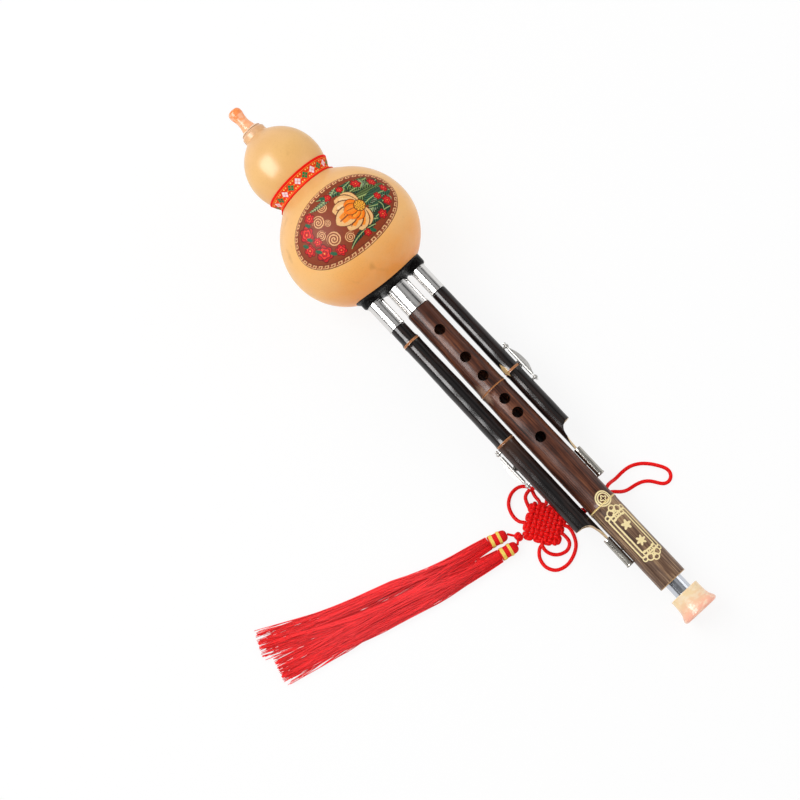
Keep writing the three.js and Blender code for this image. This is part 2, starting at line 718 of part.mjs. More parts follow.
function dronePipe(drone) {
  const end = drone.length + drone.slash + seatGap + clipEntry;
  const stop = shoulder + end;
  let body = turned([
    ...pipeOutside(drone, end), [stop, drone.bore], [pipeStart, drone.bore],
  ], droneSides, drone.across);
  body = body.subtract(slashCut(drone)).subtract(tongueTrim(drone, 1)).subtract(tongueTrim(drone, -1));
  const frame = leverFrame(drone);
  for (const along of frame.posts) {
    const depth = frame.radius - leverStemDepth - seatGap;
    body = body.subtract(pin(frame.at(along, depth, 0), frame.at(along, frame.hinge, 0), leverStemRadius + seatGap));
  }
  const [padOut, padUp] = frame.padDirection;
  const reach = frame.radius + cutOverrun;
  return body.subtract(pin(
    frame.at(frame.middle, 0, 0), frame.at(frame.middle, padOut * reach, padUp * reach), droneVentRadius,
  ));
}

function droneClip(drone) {
  const side = Math.sign(drone.across);
  const start = clipStart(drone);
  const end = start + clipLength;
  const bore = clipRadius - clipWall;
  const ring = end - clipRingLength;
  const across = clipAcross(drone);
  const tube = turned([
    [start, bore], [start, clipRadius], [ring, clipRadius], [ring, clipRingRadius - clipRingStep],
    [end - roundingShare * clipRingLength, clipRingRadius], [end, clipRadius], [end, bore], [start, bore],
  ], droneSides, across);
  const along = clipPinPlace(drone);
  const inside = side * (mainFootRadius - clipPinDepth);
  return tube.add(pin([along, inside, 0], [along, across - side * (bore + clipWall / 2), 0], clipPinRadius));
}

// Sizes and directions of one drone's lever: out is away from the main pipe, turned about the drone
function leverFrame(drone) {
  const side = Math.sign(drone.across);
  const middle = shoulder + drone.lever;
  const posts = [middle - leverSpan / 2, middle + leverSpan / 2];
  const radius = bambooRadius(drone, drone.lever) + drone.swell;
  const turn = THREE.MathUtils.degToRad(drone.leverTurn);
  const at = (along, out, up) => [
    along,
    drone.across + side * (out * Math.cos(turn) - up * Math.sin(turn)),
    out * Math.sin(turn) + up * Math.cos(turn),
  ];
  const pad = THREE.MathUtils.degToRad(padAngle);
  const padDirection = [Math.cos(pad), Math.sin(pad)];
  return { side, middle, posts, radius, hinge: radius + leverStandoff, at, padDirection };
}

function leverPost(drone, along) {
  const frame = leverFrame(drone);
  const ball = new THREE.SphereGeometry(leverBallRadius, pinSides, strandSides);
  ball.translate(...frame.at(along, frame.hinge, 0));
  const stem = pin(frame.at(along, frame.radius - leverStemDepth, 0), frame.at(along, frame.hinge, 0), leverStemRadius);
  const hole = pin(
    frame.at(along - 2 * leverBallRadius, frame.hinge, 0), frame.at(along + 2 * leverBallRadius, frame.hinge, 0),
    leverRodRadius + pivotGap,
  );
  return solid(ball).add(stem).subtract(hole);
}

function leverRod(drone) {
  const frame = leverFrame(drone);
  const start = frame.posts[0] - leverBallRadius - pivotGap;
  const end = frame.posts[1] + leverBallRadius + pivotGap;
  const shaft = pin(frame.at(start, frame.hinge, 0), frame.at(end + leverHeadLength, frame.hinge, 0), leverRodRadius);
  const head = pin(frame.at(start - leverHeadLength, frame.hinge, 0), frame.at(start, frame.hinge, 0), leverHeadRadius);
  return shaft.add(head);
}

// Hinge tube, finger wing, arm and pad cup
function lever(drone) {
  const frame = leverFrame(drone);
  const tubeStart = frame.middle - leverTubeLength / 2;
  const tubeEnd = frame.middle + leverTubeLength / 2;
  let body = pin(frame.at(tubeStart, frame.hinge, 0), frame.at(tubeEnd, frame.hinge, 0), leverTubeRadius);
  body = body.add(wing(frame)).add(leverArm(frame)).add(padDisc(frame, padCupInside(frame), cupThickness, cupRadius));
  const bore = leverRodRadius + pivotGap;
  return body.subtract(pin(
    frame.at(tubeStart - cutOverrun, frame.hinge, 0), frame.at(tubeEnd + cutOverrun, frame.hinge, 0), bore,
  ));
}

const padCupInside = (frame) => frame.radius + 2 * seatGap + padThickness;

// Moves a slab drawn in along, out, up onto its drone
function placed(frame, geometry) {
  const position = geometry.attributes.position;
  for (let i = 0; i < position.count; i++) {
    position.setXYZ(i, ...frame.at(position.getX(i), position.getY(i), position.getZ(i)));
  }
  return solid(geometry);
}

function wing(frame) {
  const half = wingLength / 2;
  const root = frame.hinge + leverRodRadius + pivotGap + wingRootInset;
  const tip = frame.hinge + wingReach;
  const [shoulderPlace, tipStart, tipEnd] = wingShares.map((share) => frame.middle + share * half);
  const edge = new THREE.SplineCurve([
    new THREE.Vector2(frame.middle - half, root), new THREE.Vector2(shoulderPlace, (root + tip) / 2),
    new THREE.Vector2(tipStart, tip), new THREE.Vector2(tipEnd, tip), new THREE.Vector2(frame.middle + half, root),
  ]).getPoints(wingSteps).map((point) => [point.x, point.y]);
  return placed(frame, slab(edge, -wingThickness / 2, wingThickness / 2));
}

// A web from the hinge tube to the near rim of the pad cup
function leverArm(frame) {
  const [out, up] = frame.padDirection;
  const inside = padCupInside(frame);
  const cupPoint = (depth, along) => [out * depth - up * along, up * depth + out * along];
  const outline = [
    [frame.hinge + leverTubeRadius / 2, -leverTubeRadius / 2],
    [frame.hinge - leverTubeRadius / 2, -leverTubeRadius / 2],
    cupPoint(inside, cupRadius), cupPoint(inside + cupThickness, cupWebShare * cupRadius),
  ];
  const geometry = slab(outline, -leverArmWidth / 2, leverArmWidth / 2);
  const position = geometry.attributes.position;
  for (let i = 0; i < position.count; i++) {
    position.setXYZ(i, ...frame.at(frame.middle + position.getZ(i), position.getX(i), position.getY(i)));
  }
  return solid(geometry);
}

function padDisc(frame, inside, thickness, radius) {
  const [out, up] = frame.padDirection;
  const outside = inside + thickness;
  return pin(
    frame.at(frame.middle, out * inside, up * inside), frame.at(frame.middle, out * outside, up * outside),
    radius, holeSides,
  );
}

function tuningBush() {
  const start = mainPipeEnd - socketLength + seatGap;
  const inner = tuningRadius + slideGap;
  return turned([
    [start, inner], [start, bushOuterRadius], [mainPipeEnd - seatGap, bushOuterRadius],
    [mainPipeEnd - seatGap, inner], [start, inner],
  ], bellSides);
}

function tuningTube() {
  const start = mainPipeEnd - tuningInserted;
  const end = bellStart + bellSocketDepth - seatGap;
  const inner = tuningRadius - tuningWall;
  return turned([
    [start, inner], [start, tuningRadius], [end, tuningRadius], [end, inner], [start, inner],
  ], bellSides);
}

function footBell() {
  const socket = tuningRadius + seatGap;
  const flare = new THREE.SplineCurve([
    new THREE.Vector2(bellStart + bellStraight, bellTopRadius),
    ...flareAlongShares.map((share, i) => new THREE.Vector2(
      bellStart + share * bellLength, bellTopRadius + flareRadiusShares[i] * (bellLipRadius - bellTopRadius),
    )),
    new THREE.Vector2(bellEnd - bellLipRound, bellLipRadius),
  ]).getPoints(flareSteps).map((point) => [point.x, point.y]);
  const socketEnd = bellStart + bellSocketDepth;
  return turned([
    [bellStart, socket], [bellStart, bellTopRadius - bellLipRound / 2], [bellStart + bellLipRound / 2, bellTopRadius],
    ...flare, [bellEnd, bellLipRadius - bellLipRound], [bellEnd, bellMouthRadius],
    ...mouthAlongShares.map((share, i) => [
      bellStart + share * bellLength, bellThroatRadius + mouthRadiusShares[i] * (bellMouthRadius - bellThroatRadius),
    ]),
    [socketEnd, bellThroatRadius], [socketEnd, socket], [bellStart, socket],
  ], bellSides);
}

// One cord laid to and fro, riding over and under the cords that cross it
function knotLayer(turn, phase) {
  const pitch = knotSpan / (knotPasses - 1);
  const half = knotSpan / 2;
  const end = half + knotTurnShare * pitch;
  const points = [];
  for (let row = 0; row < knotPasses; row++) {
    const way = row % 2 === 0 ? 1 : -1;
    const across = row * pitch - half;
    points.push(new THREE.Vector3(-way * end, across, 0));
    for (let step = 0; step <= 2 * (knotPasses - 1); step++) {
      const along = way * (step * pitch / 2 - half);
      const over = Math.cos(Math.PI * (along / pitch + row + phase));
      points.push(new THREE.Vector3(along, across, knotWave * over));
    }
    points.push(new THREE.Vector3(way * end, across, 0));
  }
  const centre = new THREE.Vector3(...knotCentre);
  const up = new THREE.Vector3(0, 0, 1);
  return points.map((point) => point.applyAxisAngle(up, turn).add(centre).toArray());
}

function knot() {
  const turn = THREE.MathUtils.degToRad(knotTurn);
  const rows = knotLayer(turn, 0);
  const columns = [...cornerEarRoute, ...knotLayer(turn + Math.PI / 2, 1), ...leftEarRoute];
  const cords = [rows, columns, footEarRoute, topEarRoute];
  const button = new THREE.SphereGeometry(knotButtonRadius, pinSides, strandSides);
  button.translate(...knotButtonCentre);
  return cords.map((route) => cordAlong(route, cordRadius, strandSides, Math.round(knotStepsPerPoint * route.length)))
    .reduce((sum, cord) => sum.add(cord), solid(button));
}

const headDirection = (index) => {
  const [x, y] = headStarts[index];
  const [endX, endY] = skirtRoutes[index][0];
  return Math.atan2(endY - y, endX - x);
};

// Puts a piece turned about the x axis onto a tassel head's own line
function onHead(index, body) {
  const geometry = geometryOf(body);
  geometry.rotateZ(headDirection(index));
  geometry.translate(headStarts[index][0], headStarts[index][1], headHeight);
  return solid(geometry);
}

function tasselHead(index) {
  const [crown, shoulderPlace, middle] = headAlongShares.map((share) => share * headLength);
  return onHead(index, turned([
    [0, 0], [0, headTopRadius / 2], [crown, headTopRadius], [shoulderPlace, headRadius - headShoulder],
    [middle, headRadius], [headLength, headRadius], [headLength, 0],
  ], holeSides));
}

function tasselBand(index, band) {
  const inner = headRadius + bandGap;
  const outer = inner + bandThickness;
  const start = bandStarts[band];
  const end = start + bandLengths[band];
  return onHead(index, turned([
    [start, inner], [start, outer], [end, outer], [end, inner], [start, inner],
  ], holeSides));
}

// A short cord from the knot's button to a tassel head
function tasselCord(index) {
  const start = new THREE.Vector3(...knotButtonCentre);
  const end = new THREE.Vector3(headStarts[index][0], headStarts[index][1], headHeight);
  const way = end.clone().sub(start).normalize();
  const facing = way.x * Math.cos(headDirection(index)) + way.y * Math.sin(headDirection(index));
  const setBack = (seatGap + tasselCordRadius * Math.sqrt(1 - facing * facing)) / facing;
  start.addScaledVector(way, knotButtonRadius + seatGap);
  end.addScaledVector(way, -setBack);
  return pin(start.toArray(), end.toArray(), tasselCordRadius, cordSides);
}

// The hanging threads as one fluted, flattening sweep that lies on the table
function tasselSkirt(index) {
  const route = skirtRoutes[index];
  const curve = new THREE.SplineCurve(route.map(([x, y]) => new THREE.Vector2(x, y)));
  const rings = skirtRingsPerSpan * (route.length - 1);
  const positions = [];
  const faces = [];
  const between = (list, share) => {
    const place = share * (list.length - 1);
    const low = Math.min(Math.floor(place), list.length - 2);
    return THREE.MathUtils.lerp(list[low], list[low + 1], place - low);
  };
  for (let ring = 0; ring <= rings; ring++) {
    const share = ring / rings;
    const centre = curve.getPoint(share);
    const ahead = curve.getTangent(share);
    const half = between(skirtHalfWidths[index], share);
    const height = between(skirtHeights, share);
    for (let i = 0; i < skirtPoints; i++) {
      const angle = (2 * Math.PI * (i + 0.5)) / skirtPoints;
      const flute = 1 - skirtFluteShare * share * (1 + Math.cos(2 * skirtFlutes * angle));
      const wide = half * Math.cos(angle) * flute;
      const up = (height / 2) * (1 + Math.max(Math.sin(angle), -1) * flute);
      positions.push(centre.x - ahead.y * wide, centre.y + ahead.x * wide, Math.max(up, 0));
    }
  }
  const first = positions.length / 3;
  for (const share of [0, 1]) {
    const centre = curve.getPoint(share);
    positions.push(centre.x, centre.y, between(skirtHeights, share) / 2);
  }
  for (let ring = 0; ring < rings; ring++) {
    for (let i = 0; i < skirtPoints; i++) {
      const next = (i + 1) % skirtPoints;
      const [a, b] = [ring * skirtPoints + i, ring * skirtPoints + next];
      faces.push(a, b, b + skirtPoints, a, b + skirtPoints, a + skirtPoints);
    }
  }
  for (let i = 0; i < skirtPoints; i++) {
    const next = (i + 1) % skirtPoints;
    faces.push(first, next, i, first + 1, rings * skirtPoints + i, rings * skirtPoints + next);
  }
  const geometry = new THREE.BufferGeometry();
  geometry.setAttribute('position', new THREE.Float32BufferAttribute(positions, 3));
  geometry.setIndex(faces);
  return solid(geometry);
}

// The instrument, leaned so that it lies on the table
const instrument = new THREE.Group();
piece(instrument, 'mouthpiece', mouthpiece(), 'resinOrange');
piece(instrument, 'mouthpiece_collar', mouthpieceCollar(), 'resinCream');
piece(instrument, 'gourd', gourd(), 'gourd');
piece(instrument, 'waist_ribbon', waistRibbon(), 'ribbon');
piece(instrument, 'pipe_seat', pipeSeat(), 'blackResin');
for (const [name, pipe] of [['main', mainPipe], ['left', leftDrone], ['right', rightDrone]]) {
  piece(instrument, `${name}_ferrule`, ferrule(pipe), 'steel');
  piece(instrument, `${name}_reed_tube`, reedTube(pipe), 'reedWood');
  piece(instrument, `${name}_reed`, reedPlate(pipe), 'brass');
}
piece(instrument, 'main_pipe', mainPipeBody(), 'bamboo');
for (const [name, drone] of [['left', leftDrone], ['right', rightDrone]]) {
  const frame = leverFrame(drone);
  piece(instrument, `${name}_drone_pipe`, dronePipe(drone), 'darkBamboo');
  piece(instrument, `${name}_drone_clip`, droneClip(drone), 'steel');
  piece(instrument, `${name}_lever_upper_post`, leverPost(drone, frame.posts[0]), 'steel');
  piece(instrument, `${name}_lever_lower_post`, leverPost(drone, frame.posts[1]), 'steel');
  piece(instrument, `${name}_lever_rod`, leverRod(drone), 'steel');
  piece(instrument, `${name}_lever`, lever(drone), 'steel');
  piece(instrument, `${name}_lever_pad`, padDisc(frame, frame.radius + seatGap, padThickness, padRadius), 'cork');
}
piece(instrument, 'tuning_bush', tuningBush(), 'brass');
piece(instrument, 'tuning_tube', tuningTube(), 'steel');
piece(instrument, 'foot_bell', footBell(), 'resinCream');
instrument.rotation.y = lean;
instrument.updateMatrixWorld(true);
const reach = new THREE.Box3().setFromObject(instrument, true);
instrument.position.set(-(reach.min.x + reach.max.x) / 2, -(reach.min.y + reach.max.y) / 2, -reach.min.z);

// What hangs on the instrument, laid out on the table
const hanging = new THREE.Group();
piece(hanging, 'hanging_loop', cordAlong(cordRoute, cordRadius, cordSides, cordSteps), 'cord');
piece(hanging, 'knot', knot(), 'cord');
['left', 'right'].forEach((side, index) => {
  piece(hanging, `${side}_tassel_cord`, tasselCord(index), 'cord');
  piece(hanging, `${side}_tassel_head`, tasselHead(index), 'cord');
  piece(hanging, `${side}_tassel_upper_band`, tasselBand(index, 0), 'gold');
  piece(hanging, `${side}_tassel_lower_band`, tasselBand(index, 1), 'gold');
  piece(hanging, `${side}_tassel_skirt`, tasselSkirt(index), 'cord');
});

const hulusi = new THREE.Group();
hulusi.add(instrument, hanging);

export default hulusi;
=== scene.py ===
import math
from functools import cached_property, reduce

import bpy
import numpy as np
from mathutils import Matrix, Vector


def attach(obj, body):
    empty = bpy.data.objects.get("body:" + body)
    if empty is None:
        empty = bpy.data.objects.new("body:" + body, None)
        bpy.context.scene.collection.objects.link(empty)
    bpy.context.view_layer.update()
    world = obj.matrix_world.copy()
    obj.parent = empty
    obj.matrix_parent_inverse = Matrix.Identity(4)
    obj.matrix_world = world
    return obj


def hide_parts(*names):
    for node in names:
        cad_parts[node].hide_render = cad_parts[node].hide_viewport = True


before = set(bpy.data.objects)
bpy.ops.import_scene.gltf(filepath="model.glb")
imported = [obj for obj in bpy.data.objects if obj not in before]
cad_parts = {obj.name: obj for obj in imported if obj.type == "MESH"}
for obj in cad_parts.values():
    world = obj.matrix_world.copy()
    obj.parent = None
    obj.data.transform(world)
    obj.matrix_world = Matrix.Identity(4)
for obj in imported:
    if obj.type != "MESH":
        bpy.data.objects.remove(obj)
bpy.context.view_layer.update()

TURN = 2 * math.pi

# The instrument's own line: millimetres along it from the mouthpiece tip, across it and above it
LEAN = 0.09993535
TIP = np.array([-0.22753271, 0.0, 0.05871266])
ALONG = np.array([math.cos(LEAN), 0.0, -math.sin(LEAN)])
ACROSS = np.array([0.0, 1.0, 0.0])
ABOVE = np.array([math.sin(LEAN), 0.0, math.cos(LEAN)])

GOURD = {"top": 19.1, "upper": 53.3, "waist": 69.6, "lower": 118.4, "bottom": 163.1, "upper_radius": 26.2,
         "upper_half": 29.0, "lower_radius": 47.9, "lower_half": 46.9}
FOOT_HALF = GOURD["bottom"] - GOURD["lower"]
SEAT = {"start": 155.0, "wall": 1.8, "half_width": 26.5, "half_height": 19.0, "across": -2.0, "grain": 0.00036}
FERRULE = {"end": 184.6, "wall": 0.9}
SHOULDER = 185.0
PIPE_END = 429.3
GAP = 0.3
TONGUE_HALF_WIDTH = 1.1
TENON_LENGTH = 14.6
SOCKET = {"depth": 35.6, "radius": 7.15}
CLIP = {"length": 23.3, "radius": 2.6, "bore": 2.1}
TUBE = {"radius": 6.3, "bore": 5.6, "depth": 26, "in_bell": 5.7}
BELL = {"start": 439.3, "end": 456.5}
MAIN = {"across": 0.0, "top": 9.1, "middle": 10.3, "foot": 10.4, "length": 244.3,
        "nodes": (72.6, 177.4), "bore": 5.4, "ferrule": 8.8, "swell": 0.45, "seat": 164.0}
LEFT = {"across": -18.5, "top": 6.2, "middle": 6.6, "foot": 6.7, "length": 179.4,
        "nodes": (13.1, 104.2), "bore": 2.8, "ferrule": 6.1, "swell": 0.4, "slash": 15.7,
        "seat": 162.2}
RIGHT = {"across": 17.8, "top": 5.3, "middle": 5.6, "foot": 5.7, "length": 120.2,
         "nodes": (71.7,), "bore": 2.8, "ferrule": 5.4, "swell": 0.4, "slash": 18.2,
         "seat": 164.4}
FINGER_HOLES = (205.5, 230.5, 247.4, 268.3, 280.7, 302.7)

# The hanging cord's route on the table and through the pipe, in millimetres in the row frame
CORD_RADIUS = 1.25
LOOP_ROUTE = [
    (119.2, -18.6, 2.6), (122, -17, 3.2), (125.01, -16.1, 7.16), (126.79, -14.1, 12.86), (127.6, -10.7, 17.9),
    (127.4, -6.63, 19.15), (127.3, 0, 19.2), (127.1, 6.63, 19.15), (125.1, 11.7, 16.8),
    (123.72, 16.1, 9.91), (123.2, 21.4, 3.2), (122.6, 27.6, 1.3), (123.3, 34, 1.25),
    (126.2, 39.8, 1.25), (130.8, 44.6, 1.25), (136.2, 48.3, 1.25), (140.9, 50.7, 1.25), (144.3, 50.8, 1.25),
    (147.1, 49.1, 1.25), (148.5, 46.0, 1.25), (147.8, 42.8, 1.25), (145.5, 40.7, 1.25), (141.0, 38.0, 1.25),
    (137.2, 34.2, 1.25), (135.0, 28.6, 1.3),
    (134.2, 22, 2.9), (132.89, 17.03, 8.43), (129.86, 11.9, 14.97), (127.4, 6.87, 16.55),
    (127.3, 0, 16.55), (127.1, -6.87, 16.55), (126.1, -9.4, 15.7), (124.39, -11.1, 12.86),
    (121.8, -12.5, 8.01), (118.99, -14, 4.42), (117, -15, 3.2), (115.6, -16.5, 2.6),
]
LEFT_EAR = [
    (105.4, -29.2, 2.6), (100.0, -26.2, 2.2),
    (94.8, -25.6, 1.6), (88.4, -24.2, 1.25), (83.4, -28.6, 1.25), (82.8, -35.4, 1.25),
    (86.8, -42, 1.25), (93.8, -45.2, 1.25), (100, -45, 1.7), (103.9, -42.5, 2.6),
]
CORNER_EAR = [
    (122.0, -31.0, 2.6), (127.7, -29.6, 2.6), (133.4, -30.4, 2.2), (136.0, -34.4, 1.4), (135.2, -39.4, 1.25),
    (132.2, -43.4, 1.6), (127.6, -45.6, 2.8), (122.9, -45.0, 4.0), (119.6, -41.4, 4.0),
]
FOOT_EAR = [
    (121.9, -43.1, 2.6), (123, -47.6, 1.6), (127.8, -51.8, 1.25), (134.8, -52.8, 1.25),
    (140.8, -49.4, 1.25), (143.2, -42.4, 1.25), (141.6, -34.6, 1.25), (137.4, -28.2, 1.25),
    (130.8, -24.6, 1.5), (125.8, -23.8, 2.2), (122.5, -25.1, 2.6),
]
TOP_EAR = [
    (104.5, -24.5, 2.6), (100.8, -20.4, 3.4), (94.6, -19.65, 4), (90.17, -24, 4.11),
    (91.2, -30.6, 3.9), (98.7, -34.1, 2.6), (103.4, -35.4, 2.6),
]
KNOT = {"span": 19.6, "turn": math.radians(31.8), "centre": (113.2, -33.8, 2.6), "radius": 1.55}
BUTTON = (107.8, -52.4, 3.45)
HEADS = [(101.3, -57.0), (111.7, -57.0)]
HEAD_HEIGHT = 4.6
SKIRTS = [
    [(97.7, -69.8), (91.0, -101), (78.2, -142), (66.0, -177), (43.4, -227.5)],
    [(108.9, -70), (100.8, -103), (89.0, -144.5), (79.4, -182), (65.8, -229)],
]
SKIRT_HALF_WIDTHS = [(4.8, 8.0, 8.2, 8.2, 10.0), (4.8, 8.0, 8.2, 8.2, 10.2)]
SKIRT_HEIGHTS = (8.3, 6.6, 5.4, 4.6, 2.8)
THREAD_LENGTH = 0.17


def on_instrument(along, across, above):
    """Row frame metres of a place on the instrument: tip + along A + across B + above C."""
    along, across, above = np.broadcast_arrays(along, across, above)
    millimetres = along[..., None] * ALONG + across[..., None] * ACROSS + above[..., None] * ABOVE
    return TIP + 0.001 * millimetres


def smooth_line(points, count):
    """A centripetal Catmull-Rom line through the points, sampled at equal steps of its length."""
    points = np.asarray(points, float)
    points = np.vstack([2 * points[0] - points[1], points, 2 * points[-1] - points[-2]])
    knots = np.concatenate([[0], np.cumsum(np.sqrt(np.linalg.norm(np.diff(points, axis=0), axis=1)))])
    place = np.linspace(knots[1], knots[-2], 24 * len(points))
    span = np.clip(np.searchsorted(knots, place, side="right") - 1, 1, len(points) - 3)
    t = [knots[span + k] for k in (-1, 0, 1, 2)]
    p = [points[span + k] for k in (-1, 0, 1, 2)]

    def between(a, b, low, high):
        share = ((place - low) / (high - low))[:, None]
        return a + (b - a) * share

    first = [between(p[k], p[k + 1], t[k], t[k + 1]) for k in range(3)]
    second = [between(first[k], first[k + 1], t[k], t[k + 2]) for k in range(2)]
    line = between(second[0], second[1], t[1], t[2])
    length = np.concatenate([[0], np.cumsum(np.linalg.norm(np.diff(line, axis=0), axis=1))])
    even = np.linspace(0, length[-1], count)
    return np.stack([np.interp(even, length, line[:, k]) for k in range(line.shape[1])], 1)


def slack_line(points, reach):
    """The line with each place at the mean of its neighbours within reach steps, twice, so that no kink is left."""
    for _ in range(2):
        steps = np.arange(1, reach + 1)[:, None]
        before = points[0] - steps[::-1] * (points[1] - points[0])
        after = points[-1] + steps * (points[-1] - points[-2])
        total = np.cumsum(np.vstack([0 * points[:1], before, points, after]), 0)
        points = (total[2 * reach + 1:] - total[:-2 * reach - 1]) / (2 * reach + 1)
    return points


def line_length(points):
    return float(np.linalg.norm(np.diff(points, axis=0), axis=1).sum())


def make_piece(name, arrays, finish, node=None, body="instrument", sharp=40):
    """One painted object from points in metres, lists of quads or triangles, and a UV pair for each corner."""
    points, faces, coordinates = arrays
    triangles = np.concatenate([np.concatenate([f[:, [0, 1, 2]], f[:, [0, 2, 3]]]) if f.shape[1] == 4 else f
                                for f in faces])
    a, b, c = (points[triangles[:, k]] for k in range(3))
    if (a * np.cross(b, c)).sum() < 0:
        faces = [f[:, ::-1] for f in faces]
        coordinates = [uv[:, ::-1] for uv in coordinates]
    sizes = np.concatenate([np.full(len(f), f.shape[1]) for f in faces])
    mesh = bpy.data.meshes.new(name)
    mesh.vertices.add(len(points))
    mesh.vertices.foreach_set("co", points.ravel())
    mesh.loops.add(int(sizes.sum()))
    mesh.loops.foreach_set("vertex_index", np.concatenate([f.ravel() for f in faces]))
    mesh.polygons.add(len(sizes))
    mesh.polygons.foreach_set("loop_start", np.concatenate([[0], np.cumsum(sizes)[:-1]]))
    corners = np.concatenate([uv.reshape(-1, 2) for uv in coordinates])
    mesh.uv_layers.new(name="UVMap").uv.foreach_set("vector", corners.ravel())
    mesh.update(calc_edges=True)
    mesh.shade_smooth()
    mesh.set_sharp_from_angle(angle=math.radians(sharp))
    piece = bpy.data.objects.new(name, mesh)
    bpy.context.collection.objects.link(piece)
    if body:
        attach(piece, body)
    if node:
        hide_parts(node)
    paint(piece, finish)
    return piece


def skin_arrays(grid, uv, ring=False, poles=True):
    """Points and faces of a grid whose columns close round: a ring closes its rows too, a rod has two poles."""
    rows, columns = grid.shape[:2]
    row, column = np.meshgrid(np.arange(rows if ring else rows - 1), np.arange(columns), indexing="ij")
    steps = [(0, 0), (0, 1), (1, 1), (1, 0)]
    faces = [np.stack([((row + r) % rows) * columns + (column + c) % columns for r, c in steps], -1).reshape(-1, 4)]
    coordinates = [np.stack([uv[row + r, column + c] for r, c in steps], -2).reshape(-1, 4, 2)]
    points = grid.reshape(-1, 3)
    if poles and not ring:
        first = len(points)
        points = np.vstack([points, grid[0].mean(0), grid[-1].mean(0)])
        around = np.arange(columns)
        after = (around + 1) % columns
        last = (rows - 1) * columns
        faces.append(np.stack([after, around, np.full(columns, first)], 1))
        faces.append(np.stack([last + around, last + after, np.full(columns, first + 1)], 1))
        for edge, turn in ((0, (1, 0)), (-1, (0, 1))):
            ends = [uv[edge, around + k] for k in turn]
            coordinates.append(np.stack([*ends, (ends[0] + ends[1]) / 2], 1))
    return points, faces, coordinates


def join_arrays(parts):
    """Several sets of points and faces as one."""
    points, faces, coordinates, start = [], [], [], 0
    for own_points, own_faces, own_uv in parts:
        points.append(own_points)
        faces += [f + start for f in own_faces]
        coordinates += own_uv
        start += len(own_points)
    return np.vstack(points), faces, coordinates


def fine_profile(profile, step):
    """A profile of [along, radius] corners with points between them no further apart than the step."""
    profile = np.asarray(profile, float)
    made = [profile[:1]]
    for a, b in zip(profile[:-1], profile[1:]):
        count = max(1, math.ceil(np.linalg.norm(b - a) / step))
        made.append(a + (b - a) * (np.arange(1, count + 1) / count)[:, None])
    return np.vstack(made)


def turned_arrays(profile, sides, across=0.0, ring=True, place=on_instrument):
    """A profile r(x) revolved: (x, across + r sin a, r cos a), with UV the turn and the length run over."""
    profile = np.asarray(profile, float)
    closed = ring and np.allclose(profile[0], profile[-1])
    run = np.concatenate([[0], np.cumsum(np.linalg.norm(np.diff(profile, axis=0), axis=1))])
    if closed:
        profile = profile[:-1]
    angle = TURN * np.arange(sides) / sides
    grid = place(profile[:, :1] + 0 * angle, across + profile[:, 1:] * np.sin(angle), profile[:, 1:] * np.cos(angle))
    rows = len(profile) + (1 if closed else 0)
    turn, length = np.meshgrid(np.arange(sides + 1) / sides, 0.001 * run[:rows])
    return skin_arrays(grid, np.stack([turn, length], -1), ring=closed)


def swept_arrays(line, radius, sides):
    """A round tube about a line in metres, its section turned with the line and not about it."""
    tangent = np.gradient(line, axis=0)
    tangent /= np.linalg.norm(tangent, axis=1)[:, None]
    side = np.zeros_like(line)
    side[0] = np.cross(tangent[0], (0.0, 0.0, 1.0))
    for i in range(1, len(line)):
        side[i] = side[i - 1] - tangent[i] * (side[i - 1] @ tangent[i])
        side[i] /= np.linalg.norm(side[i])
    side[0] /= np.linalg.norm(side[0])
    up = np.cross(side, tangent)
    angle = TURN * np.arange(sides) / sides
    spread = side[:, None] * np.cos(angle)[:, None] + up[:, None] * np.sin(angle)[:, None]
    radius = np.broadcast_to(radius, len(line))
    grid = line[:, None] + radius[:, None, None] * spread
    run = np.concatenate([[0], np.cumsum(np.linalg.norm(np.diff(line, axis=0), axis=1))])
    turn, length = np.meshgrid(np.arange(sides + 1) / sides, run)
    return skin_arrays(grid, np.stack([turn, length], -1))


def tint(red, green, blue):
    """Linear colour of a screen colour from 0 to 255."""
    share = np.array([red, green, blue]) / 255
    linear = np.where(share <= 0.04045, share / 12.92, ((share + 0.055) / 1.055) ** 2.4)
    return (*map(float, linear), 1.0)


def linear_colour(colour):
    """A screen colour of three numbers made linear; anything else as it is."""
    return tint(*colour) if isinstance(colour, tuple) and len(colour) == 3 else colour


class Value:
    """One output of a shader node; sums, products and ranges of it are nodes too."""

    def __init__(self, shader, socket):
        self.shader = shader
        self.socket = socket

    def __add__(self, other):
        return self.shader.math("ADD", self, other)

    def __sub__(self, other):
        return self.shader.math("SUBTRACT", self, other)

    def __rsub__(self, other):
        return self.shader.math("SUBTRACT", other, self)

    def __mul__(self, other):
        return self.shader.math("MULTIPLY", self, other)

    def __truediv__(self, other):
        return self.shader.math("DIVIDE", self, other)

    def __abs__(self):
        return self.shader.math("ABSOLUTE", self)

    def spread(self, low, high, first=0.0, last=1.0):
        """Runs from first to last while the value runs from low to high, and is held beyond them."""
        return self.shader.value("MapRange", {0: self, 1: low, 2: high, 3: first, 4: last})

    def between(self, first, last):
        """The value's 0 to 1 run from first to last."""
        return self.spread(0.0, 1.0, first, last)

    def below(self, limit, soft):
        """1 where the value is below a limit, falling to 0 over the soft width."""
        return self.spread(limit - soft, limit + soft, 1.0, 0.0)

    def band(self, where, half, soft=0.12):
        """1 on a band of the given half width."""
        return abs(self - where).below(half, soft)


